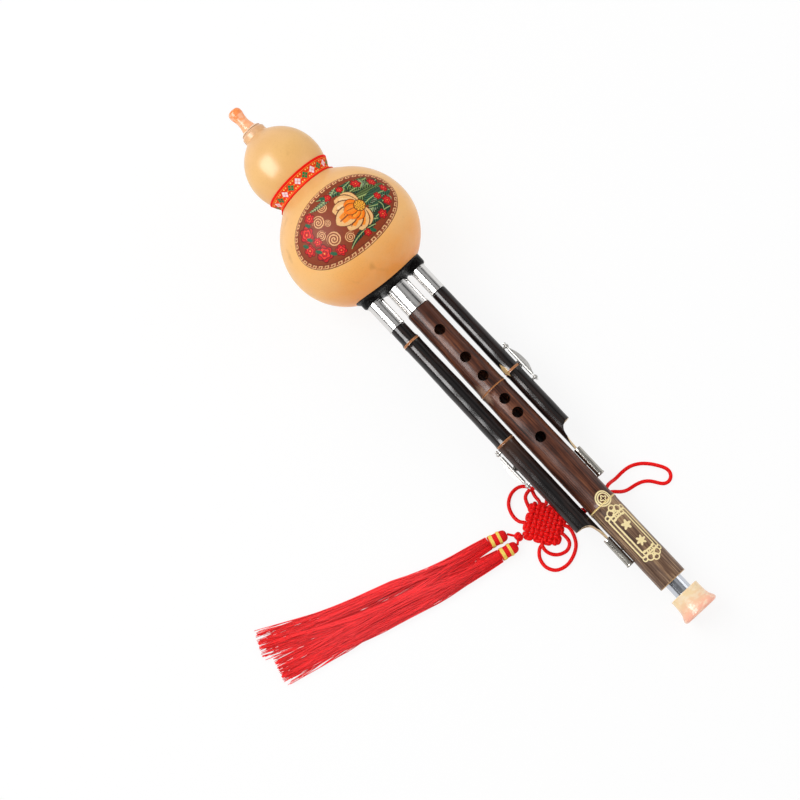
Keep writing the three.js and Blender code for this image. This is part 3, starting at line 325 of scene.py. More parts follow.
class Shader:
    """A node tree with its last node, and short ways to add nodes to it."""

    def __init__(self, tree, end=None, material=None):
        self.tree = tree
        self.end = end
        self.material = material

    @cached_property
    def place(self):
        return self.use(PLACE)

    def add(self, kind, inputs=(), **settings):
        node = self.tree.nodes.new("ShaderNode" + kind)
        for name, value in settings.items():
            setattr(node, name, value)
        for key, value in dict(inputs).items():
            if isinstance(value, Value):
                self.tree.links.new(value.socket, node.inputs[key])
            else:
                node.inputs[key].default_value = value
        return node

    def value(self, kind, inputs=(), out=0, **settings):
        return Value(self, self.add(kind, inputs, **settings).outputs[out])

    def values(self, node):
        return {socket.name: Value(self, socket) for socket in node.outputs}

    def use(self, group, inputs=()):
        return self.values(self.add("Group", inputs, node_tree=group))

    def math(self, operation, *values):
        return self.value("Math", dict(enumerate(values)), operation=operation)

    def hypotenuse(self, one, other):
        return self.math("SQRT", one * one + other * other)

    def mix(self, share, first, second, blend="MIX"):
        inputs = {0: share, 6: linear_colour(first), 7: linear_colour(second)}
        return self.value("Mix", inputs, 2, data_type="RGBA", blend_type=blend)

    def grey(self, shade):
        return self.value("CombineColor", {0: shade, 1: shade, 2: shade})

    def shaded(self, colour, shade):
        return self.mix(1.0, colour, self.grey(shade), "MULTIPLY")

    def ramp(self, value, stops):
        node = self.add("ValToRGB", {0: value})
        while len(node.color_ramp.elements) < len(stops):
            node.color_ramp.elements.new(0.5)
        for element, (place, colour) in zip(node.color_ramp.elements, stops):
            element.position = place
            element.color = linear_colour(colour)
        return Value(self, node.outputs[0])

    def stretch(self, vector, scales):
        return self.value("Mapping", {"Vector": vector, "Scale": scales})

    def noise(self, scale, detail=2.0, roughness=0.5, at=None):
        """Noise of one scale, or of three along, across and above the instrument, in shares of a millimetre."""
        at = at or self.place["Place"]
        if isinstance(scale, tuple):
            at, scale = self.stretch(at, scale), 1.0
        return self.value("TexNoise", {"Vector": at, "Scale": scale, "Detail": detail, "Roughness": roughness})

    def coordinate(self, kind):
        return self.value("TexCoord", out=kind)

    def split(self, vector):
        return list(self.values(self.add("SeparateXYZ", {0: vector})).values())

    def grain(self, dark, middle, pale, streaks, size=1.0):
        """The bamboo grain in three tones; a smaller size stretches it."""
        at = self.stretch(self.place["Place"], (size, size, size))
        return self.use(GRAIN, {"Place": at, "Dark": tint(*dark), "Middle": tint(*middle), "Pale": tint(*pale),
                                "Streaks": streaks})

    def give(self, **values):
        """Joins values to the sockets of the last node."""
        for name, value in values.items():
            self.tree.links.new(value.socket, self.end.inputs[name.replace("_", " ")])
        return self.tree

    def surface(self, colour, roughness, height, strength, distance):
        """Joins a colour, a roughness and a height to the Principled shader, and returns the material."""
        bump = self.value("Bump", {"Height": height, "Strength": strength, "Distance": distance})
        self.give(Base_Color=colour, Roughness=roughness, Normal=bump)
        return self.material


def node_group(name, inputs, outputs):
    """An empty shader group: its shader and the values that come in."""
    tree = bpy.data.node_groups.new(name, "ShaderNodeTree")
    for way, sockets in (("INPUT", inputs), ("OUTPUT", outputs)):
        for label, kind in sockets.items():
            tree.interface.new_socket(label, in_out=way, socket_type="NodeSocket" + kind)
    start = tree.nodes.new("NodeGroupInput")
    shader = Shader(tree, tree.nodes.new("NodeGroupOutput"))
    return shader, shader.values(start)


def floats(*names):
    return dict.fromkeys(names, "Float")


def finish_of(name, **sockets):
    """The shader of a new material with one Principled shader and its plain values."""
    material = bpy.data.materials.new(name)
    material.use_nodes = True
    shader = Shader(material.node_tree, material.node_tree.nodes["Principled BSDF"], material)
    for key, value in sockets.items():
        shader.end.inputs[key.replace("_", " ")].default_value = value
    return shader


def paint(piece, material):
    piece.data.materials.clear()
    piece.data.materials.append(material)


def settle(piece, sharp=40):
    """The piece with its modifiers worked into its mesh."""
    graph = bpy.context.evaluated_depsgraph_get()
    graph.update()
    mesh = bpy.data.meshes.new_from_object(piece.evaluated_get(graph))
    piece.modifiers.clear()
    piece.data = mesh
    mesh.shade_smooth()
    mesh.set_sharp_from_angle(angle=math.radians(sharp))


def cut(piece, cutters):
    """Takes the cutters out of the piece; the cut faces keep the cutters' materials."""
    for cutter in cutters:
        tool = piece.modifiers.new(cutter.name, "BOOLEAN")
        tool.operation = "DIFFERENCE"
        tool.solver = "EXACT"
        tool.material_mode = "TRANSFER"
        tool.object = cutter
    settle(piece)
    for cutter in cutters:
        bpy.data.objects.remove(cutter)


# Finishes

def place_group():
    """Millimetres along, across and above the instrument's line, whatever the piece."""
    shader, _ = node_group("InstrumentPlace", {}, {"Place": "Vector", **floats("Along", "Across", "Above")})
    inputs = {0: shader.coordinate("Object"), "Location": TIP, "Rotation": (0.0, LEAN, 0.0), "Scale": (0.001,) * 3}
    place = shader.value("Mapping", inputs, vector_type="TEXTURE")
    return shader.give(Place=place, **dict(zip(("Along", "Across", "Above"), shader.split(place))))


def grain_group():
    """Bamboo's long grain: a blend of three tones with fine fibres, and the height and gloss that go with them."""
    tones = dict.fromkeys(("Dark", "Middle", "Pale"), "Color")
    shader, start = node_group("BambooGrain", {"Place": "Vector", **tones, "Streaks": "Float"},
                               {"Colour": "Color", **floats("Roughness", "Height")})
    at = start["Place"]
    long = shader.noise((0.035, 0.9, 0.9), 5.0, 0.62, at)
    fibre = shader.noise((0.12, 5.0, 5.0), 3.0, 0.6, at)
    cloud = shader.noise((0.03, 0.12, 0.12), 3.0, 0.5, at)
    blend = long * 0.6 + cloud * 0.4
    colour = shader.mix(blend.spread(0.36, 0.52), start["Dark"], start["Middle"])
    colour = shader.mix(blend.spread(0.5, 0.66) * start["Streaks"], colour, start["Pale"])
    return shader.give(Colour=shader.shaded(colour, fibre.spread(0.35, 0.6, 0.78, 1.06)),
                       Roughness=fibre.between(0.26, 0.46), Height=fibre * 0.6 + long * 0.4)


def box_line_group():
    """1 on a thin line round a box with round corners; A and B are millimetres from its middle."""
    shader, start = node_group("BoxLine", floats("A", "B", "Half A", "Half B", "Round", "Width"), floats("Line"))
    sides = [abs(start[place]) - start["Half " + place] + start["Round"] for place in "AB"]
    corner = shader.hypotenuse(*(shader.math("MAXIMUM", side, 0.0) for side in sides))
    inner = shader.math("MINIMUM", shader.math("MAXIMUM", *sides), 0.0)
    distance = corner + inner - start["Round"]
    return shader.give(Line=(abs(distance) - start["Width"]).below(0.0, 0.06))


def ring_line_group():
    """1 on a thin ring, or in a flower of so many petals where Petals is more than 0."""
    shader, start = node_group("RingLine", floats("A", "B", "Radius", "Width", "Petals"), floats("Line", "Inside"))
    turn = shader.math("ARCTAN2", start["A"], start["B"]) * start["Petals"]
    wave = shader.math("COSINE", turn) * 0.24 + 0.76
    petalled = shader.math("MINIMUM", start["Petals"], 1.0)
    radius = start["Radius"] * shader.value("Mix", {0: petalled, 2: 1.0, 3: wave})
    distance = shader.hypotenuse(start["A"], start["B"]) - radius
    return shader.give(Line=(abs(distance) - start["Width"]).below(0.0, 0.06), Inside=distance.below(0.0, 0.08))


def cord_group():
    """A braided cord's weave over UV: turn 0 to 1 round it and metres along it."""
    shader, start = node_group("CordWeave", floats("Strands", "Pitch"), floats("Height", "Shade"))
    around, along, _ = shader.split(shader.coordinate("UV"))
    turns = around * start["Strands"] * TURN
    run = along / start["Pitch"] * TURN
    height = shader.math("MAXIMUM", shader.math("SINE", turns + run), shader.math("SINE", turns - run))
    fine = shader.noise((9000.0, 9000.0, 9000.0), at=shader.coordinate("Object"))
    return shader.give(Height=fine * 0.5 + height, Shade=height.spread(0.1, 0.9, 0.8, 1.05))


PLACE = place_group()
GRAIN = grain_group()
BOX_LINE = box_line_group()
RING_LINE = ring_line_group()
WEAVE = cord_group()


def gourd_finish():
    """Varnished dry gourd: warm straw, more orange towards the foot, with faint specks and marks, and painted light
    that brightens the lower bulb.
    """
    shader = finish_of("gourd_shell", Coat_Weight=0.36, Coat_Roughness=0.25, Specular_IOR_Level=0.1)
    # The stops past the waist are raised to make up for the weaker light on the lower bulb: painted light over the
    # gourd's own run from straw to orange.
    tone = shader.ramp(shader.place["Along"] / 166.0, [
        (0.115, (222, 174, 138)), (0.16, (230, 180, 124)), (0.28, (236, 186, 116)), (0.45, (233, 176, 106)),
        (0.62, (242, 186, 112)), (0.8, (250, 188, 108)), (0.94, (246, 158, 74))])
    speck = shader.noise(0.9, 4.0, 0.7)
    cloud = shader.noise(0.05, 3.0, 0.5)
    mark = shader.noise(0.09, 2.0, 0.4).spread(0.66, 0.78)
    for share, stain in ((speck.spread(0.5, 0.75, 0.0, 0.22), (196, 134, 72)),
                         (cloud.spread(0.4, 0.7, 0.0, 0.3), (243, 196, 140)), (mark * 0.35, (188, 126, 62))):
        tone = shader.mix(share, tone, stain)
    return shader.surface(tone, speck.between(0.3, 0.44), speck * 0.15 + shader.noise(0.16), 0.25, 0.0004)


def picture_finish():
    """Painted carving: the colours of its points, with the cut lines pressed in."""
    shader = finish_of("gourd_picture", Specular_IOR_Level=0.12)
    scratch = shader.noise((3.0, 0.7, 0.7), 3.0, 0.6)
    colour = shader.shaded(shader.value("VertexColor", layer_name="Design"), scratch.spread(0.35, 0.65, 0.86, 1.06))
    return shader.surface(colour, scratch.between(0.4, 0.62), scratch, 0.3, 0.0002)


def ribbon_finish():
    """Woven ribbon: eleven white flowers and eleven green ones round it, dashes, gold lines and red edges."""
    shader = finish_of("woven_ribbon", Specular_IOR_Level=0.08)
    around, over, _ = shader.split(shader.coordinate("UV"))
    step = around * 22.0
    out_a = abs((shader.math("FRACT", step) - 0.5) * 7.0)
    out_b = abs(over * 1000.0)
    odd = shader.math("GREATER_THAN", shader.math("FRACT", step * 0.5), 0.5)
    flower = shader.math("MINIMUM", abs(out_a - 1.45) + out_b, abs(out_b - 1.45) + out_a).below(1.3, 0.12)
    dashes = shader.math("MAXIMUM", abs(out_a - 2.5), abs(out_b - 2.6)).below(0.42, 0.1)
    between = shader.math("MAXIMUM", abs(out_a - 3.4), out_b).below(0.4, 0.1)
    colour = shader.mix(dashes, (244, 66, 24), (252, 232, 110))
    for share, thread in ((between, (252, 196, 70)), (flower, shader.mix(odd, (24, 142, 82), (255, 236, 244))),
                          (out_b.band(3.75, 0.14, 0.08), (255, 150, 50)),
                          (1.0 - out_b.below(4.0, 0.1), (252, 26, 14))):
        colour = shader.mix(share, colour, thread)
    # The colour is darkened where the weave dips: painted shade between the threads.
    weave = shader.math("SINE", around * (TURN * 320)) * shader.math("SINE", over * (TURN * 2800))
    return shader.surface(shader.shaded(colour, weave.spread(-1.0, 1.0, 0.88, 1.04)),
                          weave.spread(-1.0, 1.0, 0.8, 0.6), weave, 0.35, 0.00012)


def resin_finish(name, low, high, low_at, high_at, swirl):
    """Cast resin with a clouded colour that runs from one tone to another along the instrument."""
    shader = finish_of(name, Coat_Weight=0.3, Coat_Roughness=0.1, Specular_IOR_Level=0.15, Subsurface_Weight=0.12,
                       Subsurface_Radius=(0.004, 0.0025, 0.0018))
    cloud = shader.noise((0.12, 0.35, 0.35), 4.0, 0.6) * 5.0 + shader.place["Along"]
    colour = shader.mix(cloud.spread(low_at + 2.5, high_at + 2.5), low, high)
    vein = shader.noise((0.3, 0.16, 0.16), 5.0, 0.65).spread(0.52, 0.6)
    colour = shader.mix(vein * 0.55, colour, swirl)
    scuff = shader.noise(1.4, 3.0, 0.6)
    return shader.surface(colour, scuff.between(0.24, 0.42), scuff, 0.12, 0.0001)


def black_resin_finish():
    """Poured black resin, glossy and a little lumpy."""
    shader = finish_of("black_resin", Specular_IOR_Level=0.08)
    lump = shader.noise(0.45, 3.0, 0.55)
    gloss = shader.noise(3.0).between(0.08, 0.2)
    return shader.surface(shader.mix(lump, (6, 5, 5), (18, 15, 14)), gloss, lump, 1.0, 0.0014)


def steel_finish(name, colour, rough, metal=1.0):
    """Bright plated metal with a lathe's fine rings and a few smears."""
    shader = finish_of(name, Metallic=metal)
    smear = shader.noise((0.1, 0.5, 0.5), 3.0, 0.55)
    tone = shader.mix(smear, tuple(0.93 * np.array(colour)), colour)
    gloss = smear.spread(0.3, 0.75, rough, rough + 0.14)
    return shader.surface(tone, gloss, shader.noise((1.4, 0.1, 0.1)), 0.02, 0.00001)


def engraving(shader, along, arc):
    """1 on the gold lines: a double frame with rings at its ends, two flowers in it and a roundel above it."""
    def ring(a, b, radius, petals, width=0.45, part="Line"):
        inputs = {"A": a, "B": b, "Radius": radius, "Width": width, "Petals": petals}
        return shader.use(RING_LINE, inputs)[part]

    a, b = along - 389.5, arc - 1.6
    out_a, out_b = abs(a), abs(b)
    marks = [shader.use(BOX_LINE, {"A": a, "B": b, "Half A": half_a, "Half B": half_b, "Round": 1.6,
                                   "Width": 0.55})["Line"] for half_a, half_b in ((16.6, 7.8), (14.2, 5.2))]
    marks += [ring(out_a - from_a, out_b - from_b, radius, petals) for from_a, from_b, radius, petals in (
        (19.0, 3.0, 2.2, 0.0), (21.2, 0.0, 2.0, 0.0), (17.8, 6.6, 1.6, 0.0), (15.0, 3.6, 1.5, 0.0),
        (17.0, 0.0, 2.4, 4.0), (19.0, 0.0, 1.0, 0.0))]
    marks += [ring(a - where, b, 3.7, petals, part="Inside") for where, petals in ((-6.9, 5.0), (6.9, 6.0))]
    marks += [ring(along - 359.9, arc - 2.1, radius, petals, 0.5) for radius, petals in (
        (5.1, 0.0), (3.7, 0.0), (2.2, 4.0))]
    return reduce(lambda one, other: shader.math("MAXIMUM", one, other), marks)


def brown_bamboo_finish():
    """The main pipe: lacquered brown bamboo, lighter and weathered past its second node, with gold engraving."""
    shader = finish_of("brown_bamboo", Specular_IOR_Level=0.14, Coat_Weight=0.2, Coat_Roughness=0.18)
    along, across, above = (shader.place[name] for name in ("Along", "Across", "Above"))
    first, second = (SHOULDER + node for node in MAIN["nodes"])
    upper = shader.grain((36, 21, 17), (88, 48, 34), (156, 96, 62), 0.6)
    lower = shader.grain((56, 38, 30), (124, 94, 74), (208, 174, 130), 0.9, 0.8)
    colour = shader.mix(1.0 - along.below(second, 0.3), upper["Colour"], lower["Colour"])
    # The pale spot beside the first node is partly a bud scar and partly a painted highlight.
    scar, beside = along - first, across + 7.6
    spot_away = shader.math("SQRT", scar * scar * 0.08 + beside * beside)
    scar_and_highlight = (shader.noise((0.2, 0.5, 0.5), 3.0, 0.6) * 3.4 + spot_away).below(3.6, 0.7)
    for share, tone in ((scar_and_highlight * 0.5, (186, 150, 126)), (along.band(first, 0.42), (186, 128, 82)),
                        (along.band(second, 0.5), (238, 214, 150)),
                        (along.band(PIPE_END, 0.5) * 0.9, (196, 158, 112))):
        colour = shader.mix(share, colour, tone)
    gold = engraving(shader, along, shader.math("ARCTAN2", across, above) * 10.35)
    rough = shader.mix(gold, upper["Roughness"], (0.55, 0.55, 0.55, 1.0))
    colour = shader.mix(gold, colour, (244, 224, 168))
    return shader.surface(colour, rough, upper["Height"] - gold * 0.8, 0.3, 0.00025)


def black_bamboo_finish():
    """The drones: near black lacquered bamboo with pale scars at the nodes and one pale bud scar."""
    shader = finish_of("black_bamboo", Specular_IOR_Level=0.06, Coat_Weight=0.7, Coat_Roughness=0.15)
    along, across = shader.place["Along"], shader.place["Across"]
    grain = shader.grain((10, 7, 7), (20, 15, 15), (80, 46, 32), 0.35)
    colour = grain["Colour"]
    left = shader.math("LESS_THAN", across, 0.0)
    right = 1.0 - left
    for side, pipe in ((left, LEFT), (right, RIGHT)):
        for node in pipe["nodes"]:
            for half, shade in ((1.6, (14, 10, 9)), (0.8, (184, 126, 84))):
                colour = shader.mix(along.band(SHOULDER + node, half) * side, colour, shade)
    second = SHOULDER + LEFT["nodes"][1]
    past = shader.math("GREATER_THAN", along, second)
    warm = shader.mix(grain["Height"], (44, 28, 22), (104, 66, 46))
    colour = shader.mix(left * along.spread(second, second + 22, 0.6, 0.0) * past, colour, warm)
    bud = along - (SHOULDER + RIGHT["nodes"][0] - 2.6)
    leaf = abs(bud * 0.32) + abs(across - (RIGHT["across"] - 4.2))
    colour = shader.mix(leaf.below(1.7, 0.25) * right, colour, (206, 172, 120))
    return shader.surface(colour, grain["Roughness"], grain["Height"], 0.12, 0.0001)


def raw_bamboo_finish(name, dark, middle, pale):
    """Bare cut bamboo, with its fibres end on or along."""
    shader = finish_of(name, Specular_IOR_Level=0.25)
    grain = shader.grain(dark, middle, pale, 0.8)
    return shader.surface(grain["Colour"], grain["Roughness"] + 0.2, grain["Height"], 0.4, 0.0002)


def cord_finish(name, colour, deep, strands, pitch, depth):
    """Braided or wound cord with a soft sheen and shaded furrows."""
    shader = finish_of(name, Specular_IOR_Level=0.08, Sheen_Weight=0.08, Sheen_Roughness=0.4)
    weave = shader.use(WEAVE, {"Strands": strands, "Pitch": pitch})
    tone = shader.noise(220.0, 3.0, 0.6, shader.coordinate("Object"))
    colour = shader.shaded(shader.mix(tone, deep, colour), weave["Shade"])
    return shader.surface(colour, tone.between(0.45, 0.65), weave["Height"], 0.5, depth)


def thread_finish(name, root, middle, tip):
    """Glossy silk threads, each its own shade, brighter towards their loose ends."""
    shader = finish_of(name, Specular_IOR_Level=0.1, Sheen_Weight=0.08, Sheen_Roughness=0.35)
    around, along, _ = shader.split(shader.coordinate("UV"))
    own = shader.value("TexWhiteNoise", {1: shader.math("FLOOR", around)}, noise_dimensions="1D")
    colour = shader.ramp(along / THREAD_LENGTH, [(0.0, root), (0.3, middle), (0.75, middle), (1.0, tip)])
    twist = shader.math("SINE", (along + around * 0.0006) * (TURN * 1400))
    return shader.surface(shader.shaded(colour, own.between(0.74, 1.2)),
                          own.between(0.35, 0.55), twist, 0.2, 0.00003)


def speckled_finish(name, colour, other, size, rough):
    """A plain matt stuff with a grain of the given size in millimetres."""
    shader = finish_of(name)
    grain = shader.noise(1.0 / size, 4.0, 0.65)
    colour = shader.mix(grain, colour, other)
    return shader.surface(colour, grain.between(rough, rough + 0.15), grain, 0.3, 0.0003)


GOURD_SHELL = gourd_finish()
PICTURE = picture_finish()
RIBBON = ribbon_finish()
ORANGE_RESIN = resin_finish("orange_resin", (255, 148, 84), (254, 186, 140), 4.0, 16.0, (255, 206, 172))
CREAM_RESIN = resin_finish("cream_resin", (250, 220, 174), (254, 184, 158), 443.0, 455.0, (255, 234, 208))
BLACK_RESIN = black_resin_finish()
STEEL = steel_finish("polished_steel", (228, 226, 224), 0.13)
WORN_STEEL = steel_finish("worn_steel", (176, 172, 164), 0.16)
BROWN_BAMBOO = brown_bamboo_finish()
BLACK_BAMBOO = black_bamboo_finish()
RAW_BAMBOO = raw_bamboo_finish("raw_bamboo", (190, 158, 116), (222, 194, 152), (238, 216, 180))
HOLE_WALL = raw_bamboo_finish("hole_wall", (14, 10, 8), (26, 18, 14), (40, 28, 20))
RED_CORD = cord_finish("red_cord", (255, 20, 18), (240, 8, 10), 4.0, 0.0028, 0.00016)
GOLD_THREAD = cord_finish("gold_thread", (255, 238, 140), (255, 214, 60), 1.0, 0.0006, 0.00012)
RED_THREAD = thread_finish("red_thread", (240, 26, 30), (255, 62, 66), (255, 44, 46))
REED_WOOD = speckled_finish("reed_tube_wood", (160, 118, 70), (198, 156, 104), 1.2, 0.5)
CORK = speckled_finish("cork", (150, 104, 62), (188, 142, 92), 0.8, 0.75)
REED_BRASS = steel_finish("reed_brass", (214, 178, 92), 0.25)
LEVER_PLATE = steel_finish("lever_plate", (188, 186, 182), 0.3, 0.6)
COLLAR_RESIN = resin_finish("collar_resin", (250, 206, 170), (246, 212, 176), 17.0, 19.5, (252, 226, 200))
TUBE_STEEL = steel_finish("tube_steel", (206, 210, 218), 0.12)
HEAD_THREAD = cord_finish("head_thread", (250, 28, 32), (224, 12, 18), 22.0, 0.08, 0.00016)


# Pieces

def gourd_radius(along):
    """Two bulbs and a core blended: (upper^n + lower^n + core^n)^(1/n) with n = 3.5, in millimetres."""
    def bulb(name, half):
        return GOURD[name + "_radius"] * np.sqrt(np.clip(1 - ((along - GOURD[name]) / half) ** 2, 0, None))

    upper = bulb("upper", GOURD["upper_half"])
    lower = bulb("lower", np.where(along > GOURD["lower"], FOOT_HALF, GOURD["lower_half"]))
    up = ease(np.clip((along - GOURD["top"]) / (GOURD["waist"] - GOURD["top"]), 0, 1))
    down = 1 - ease(np.clip((along - GOURD["waist"]) / (GOURD["lower"] - GOURD["waist"]), 0, 1))
    core = 8.7 * (1 - up) + 11.5 * up * down
    return (upper ** 3.5 + lower ** 3.5 + core ** 3.5) ** (1 / 3.5)


def ease(share):
    return share * share * (3 - 2 * share)


def gourd():
    """The gourd's skin, its stem rounded over, closed at its stem and foot."""
    turn = np.linspace(0, np.pi / 2, 90)
    stem = np.linspace(GOURD["top"], 24.3, 24, endpoint=False)
    upper = GOURD["upper"] - GOURD["upper_half"] * np.cos(turn)
    saddle = np.linspace(GOURD["upper"], GOURD["lower"] - 20, 170)[1:-1]
    lower = GOURD["lower"] - 20 * np.cos(turn[::3])
    foot = GOURD["lower"] + FOOT_HALF * np.sin(turn[1:-1])
    along = np.concatenate([stem, upper, saddle, lower, foot])
    rounded = 1.3 * (1 - ease(np.clip((along - GOURD["top"]) / 2.0, 0, 1)))
    profile = np.stack([along, gourd_radius(along) - rounded], 1)
    profile = np.vstack([[GOURD["top"], 0.5], profile, [GOURD["bottom"], 0.3]])
    points, faces, uv = turned_arrays(profile, 200, ring=False)
    points[:, 2] = np.maximum(points[:, 2], 0)
    make_piece("gourd_skin", (points, faces, uv), GOURD_SHELL, "gourd", sharp=60)


PICTURE_SIZE = (27.3, 45.8)
PICTURE_PLACE = 113.7


def picture_place(a, b, lift):
    """The place on the large bulb a mm along its side and b mm round it from the picture's middle."""
    half = np.where(PICTURE_PLACE + a > GOURD["lower"], FOOT_HALF, GOURD["lower_half"])
    middle = math.asin((PICTURE_PLACE - GOURD["lower"]) / FOOT_HALF)
    along = GOURD["lower"] + half * np.sin(middle + a / 46.0)
    radius = gourd_radius(along) + lift
    turn = (b + 0.8) / GOURD["lower_radius"]
    return on_instrument(along, radius * np.sin(turn), radius * np.cos(turn))


def blossom(x, y, cx, cy, size, petals, turn):
    """How far inside a flower of round petals a place is: above 0 inside, in shares of its radius."""
    away = np.hypot(x - cx, y - cy) / size
    wave = 0.9 + 0.1 * np.cos(petals * (np.arctan2(y - cy, x - cx) - turn))
    return wave - away, away


def frond(x, y, root, tip, bend, leaves, width):
    """Leaf and rib shares of a fern: leaflets slant off a rib bent by the given share of its length."""
    run = np.array(tip, float) - root
    length = np.hypot(*run)
    run /= length
    t = ((x - root[0]) * run[0] + (y - root[1]) * run[1]) / length
    side = ((y - root[1]) * run[0] - (x - root[0]) * run[1]) - bend * length * 4 * t * (1 - t)
    spread = width * np.clip(4 * t * (1 - t), 0, 1) ** 0.6 * (1.15 - 0.5 * t)
    phase = t * leaves - np.abs(side) / length * leaves * 0.8
    leaflet = np.cos(TURN * phase) > -0.35 + np.abs(side) / np.maximum(spread, 0.01) * 0.9
    inside = (t > 0) & (t < 1) & (np.abs(side) < spread)
    return inside & leaflet, inside & (np.abs(side) < 0.28), inside


def petal(x, y, base, turn, length, width):
    """How far a place is inside a pointed petal: 1 on its rib, 0 on its outline; and its share along the rib."""
    c, s = math.cos(turn), math.sin(turn)
    t = ((x - base[0]) * c + (y - base[1]) * s) / length
    side = (y - base[1]) * c - (x - base[0]) * s
    half = width * np.clip(4 * t * (1 - t), 0.001, 1) ** 0.75 * (0.75 + 0.5 * t)
    return np.where((t > 0) & (t < 1), 1 - np.abs(side) / half, -1.0), t


# Middle, radius and sense of each scroll; root, tip, bend, leaflets and width of each fern; turn, length and half
# width of each lily petal; middle and radius of each blossom; share, petals, rim and colour of a blossom's layers
SCROLLS = [
    (-8.5, -16.5, 4.6, 1), (-0.5, -20.5, 3.4, -1), (7.0, -16.0, 5.0, 1), (13.5, -7.0, 3.6, -1),
    (-14.5, -7.5, 4.0, -1), (-3.5, -12.0, 2.4, 1), (15.0, 2.5, 2.4, 1),
]
FERNS = [
    ((-7, 39), (-14, 8), 0.12, 17, 5.0), ((-1, 40), (-5, 10), 0.06, 17, 5.2), ((4, 40), (3, 12), -0.05, 16, 5.0),
    ((9, 36), (11, 10), -0.1, 15, 4.4), ((14, 30), (17, 6), -0.06, 14, 3.6), ((-12, 34), (-20, 8), 0.1, 15, 3.8),
    ((-17, 22), (-22, -8), 0.1, 16, 3.0), ((-20, 10), (-19, -18), 0.1, 14, 2.4),
    ((18, 12), (20, -12), -0.1, 12, 2.4), ((-4, 34), (-10, 14), -0.1, 12, 3.4), ((7, 33), (6, 16), 0.12, 11, 3.2),
    ((-14, 28), (-8, 22), 0.2, 9, 3.2), ((13, 24), (7, 24), -0.2, 8, 3.2), ((-15, 14), (-11, 2), 0.1, 9, 2.6),
    ((16, 16), (14, 2), -0.1, 9, 2.6),
]
FERN_GREENS = [(40, 84, 60), (116, 142, 78), (60, 118, 84), (150, 172, 130)]
LILY_BASE, LILY_HEART = (1.5, 12.5), (1.5, 12.0)
OUTER_PETALS = 7
LILY_COLOURS = {True: ((240, 186, 122), (250, 206, 150)), False: ((250, 124, 24), (254, 160, 50))}
LILY = [
    (74, 15, 4.6), (-74, 15, 4.6), (52, 17.5, 5.2), (-52, 17.5, 5.2), (27, 19, 5.4), (-27, 19, 5.4), (0, 20.5, 5.8),
    (40, 11, 3.8), (-40, 11, 3.8), (14, 12, 3.6), (-14, 12, 3.6),
]
BLOSSOMS = [
    (-8.5, -28.5, 6.4), (0.5, -34.0, 4.8), (9.0, -27.5, 6.6), (-15.5, -20, 4.6), (15.5, -17.5, 4.4),
    (-17.5, 0.0, 3.4), (-12.5, 23, 4.2), (-7, 33.5, 3.6), (1.0, 36.5, 3.4), (9.5, 31, 4.0), (15.5, 21, 3.8),
    (-16.5, 11, 3.0), (3.5, 27.0, 3.0), (19.0, 4.0, 3.0), (0.5, -25.5, 3.6),
]
BLOSSOM_LAYERS = [(1.0, 6, 0.12, (206, 24, 26)), (0.7, 5, 0.14, (244, 48, 42)), (0.36, 5, 0.18, (214, 28, 28))]
LEAVES = [(-4.5, -29), (5.5, -29.5), (-12.5, -24), (13.5, -23), (-3.5, -34.5), (-20, -3), (20, 8)]
BORDER = {"width": 4.4, "line": 4.1, "keys": 44}


def within(value, low, high):
    return (value > low) & (value < high)


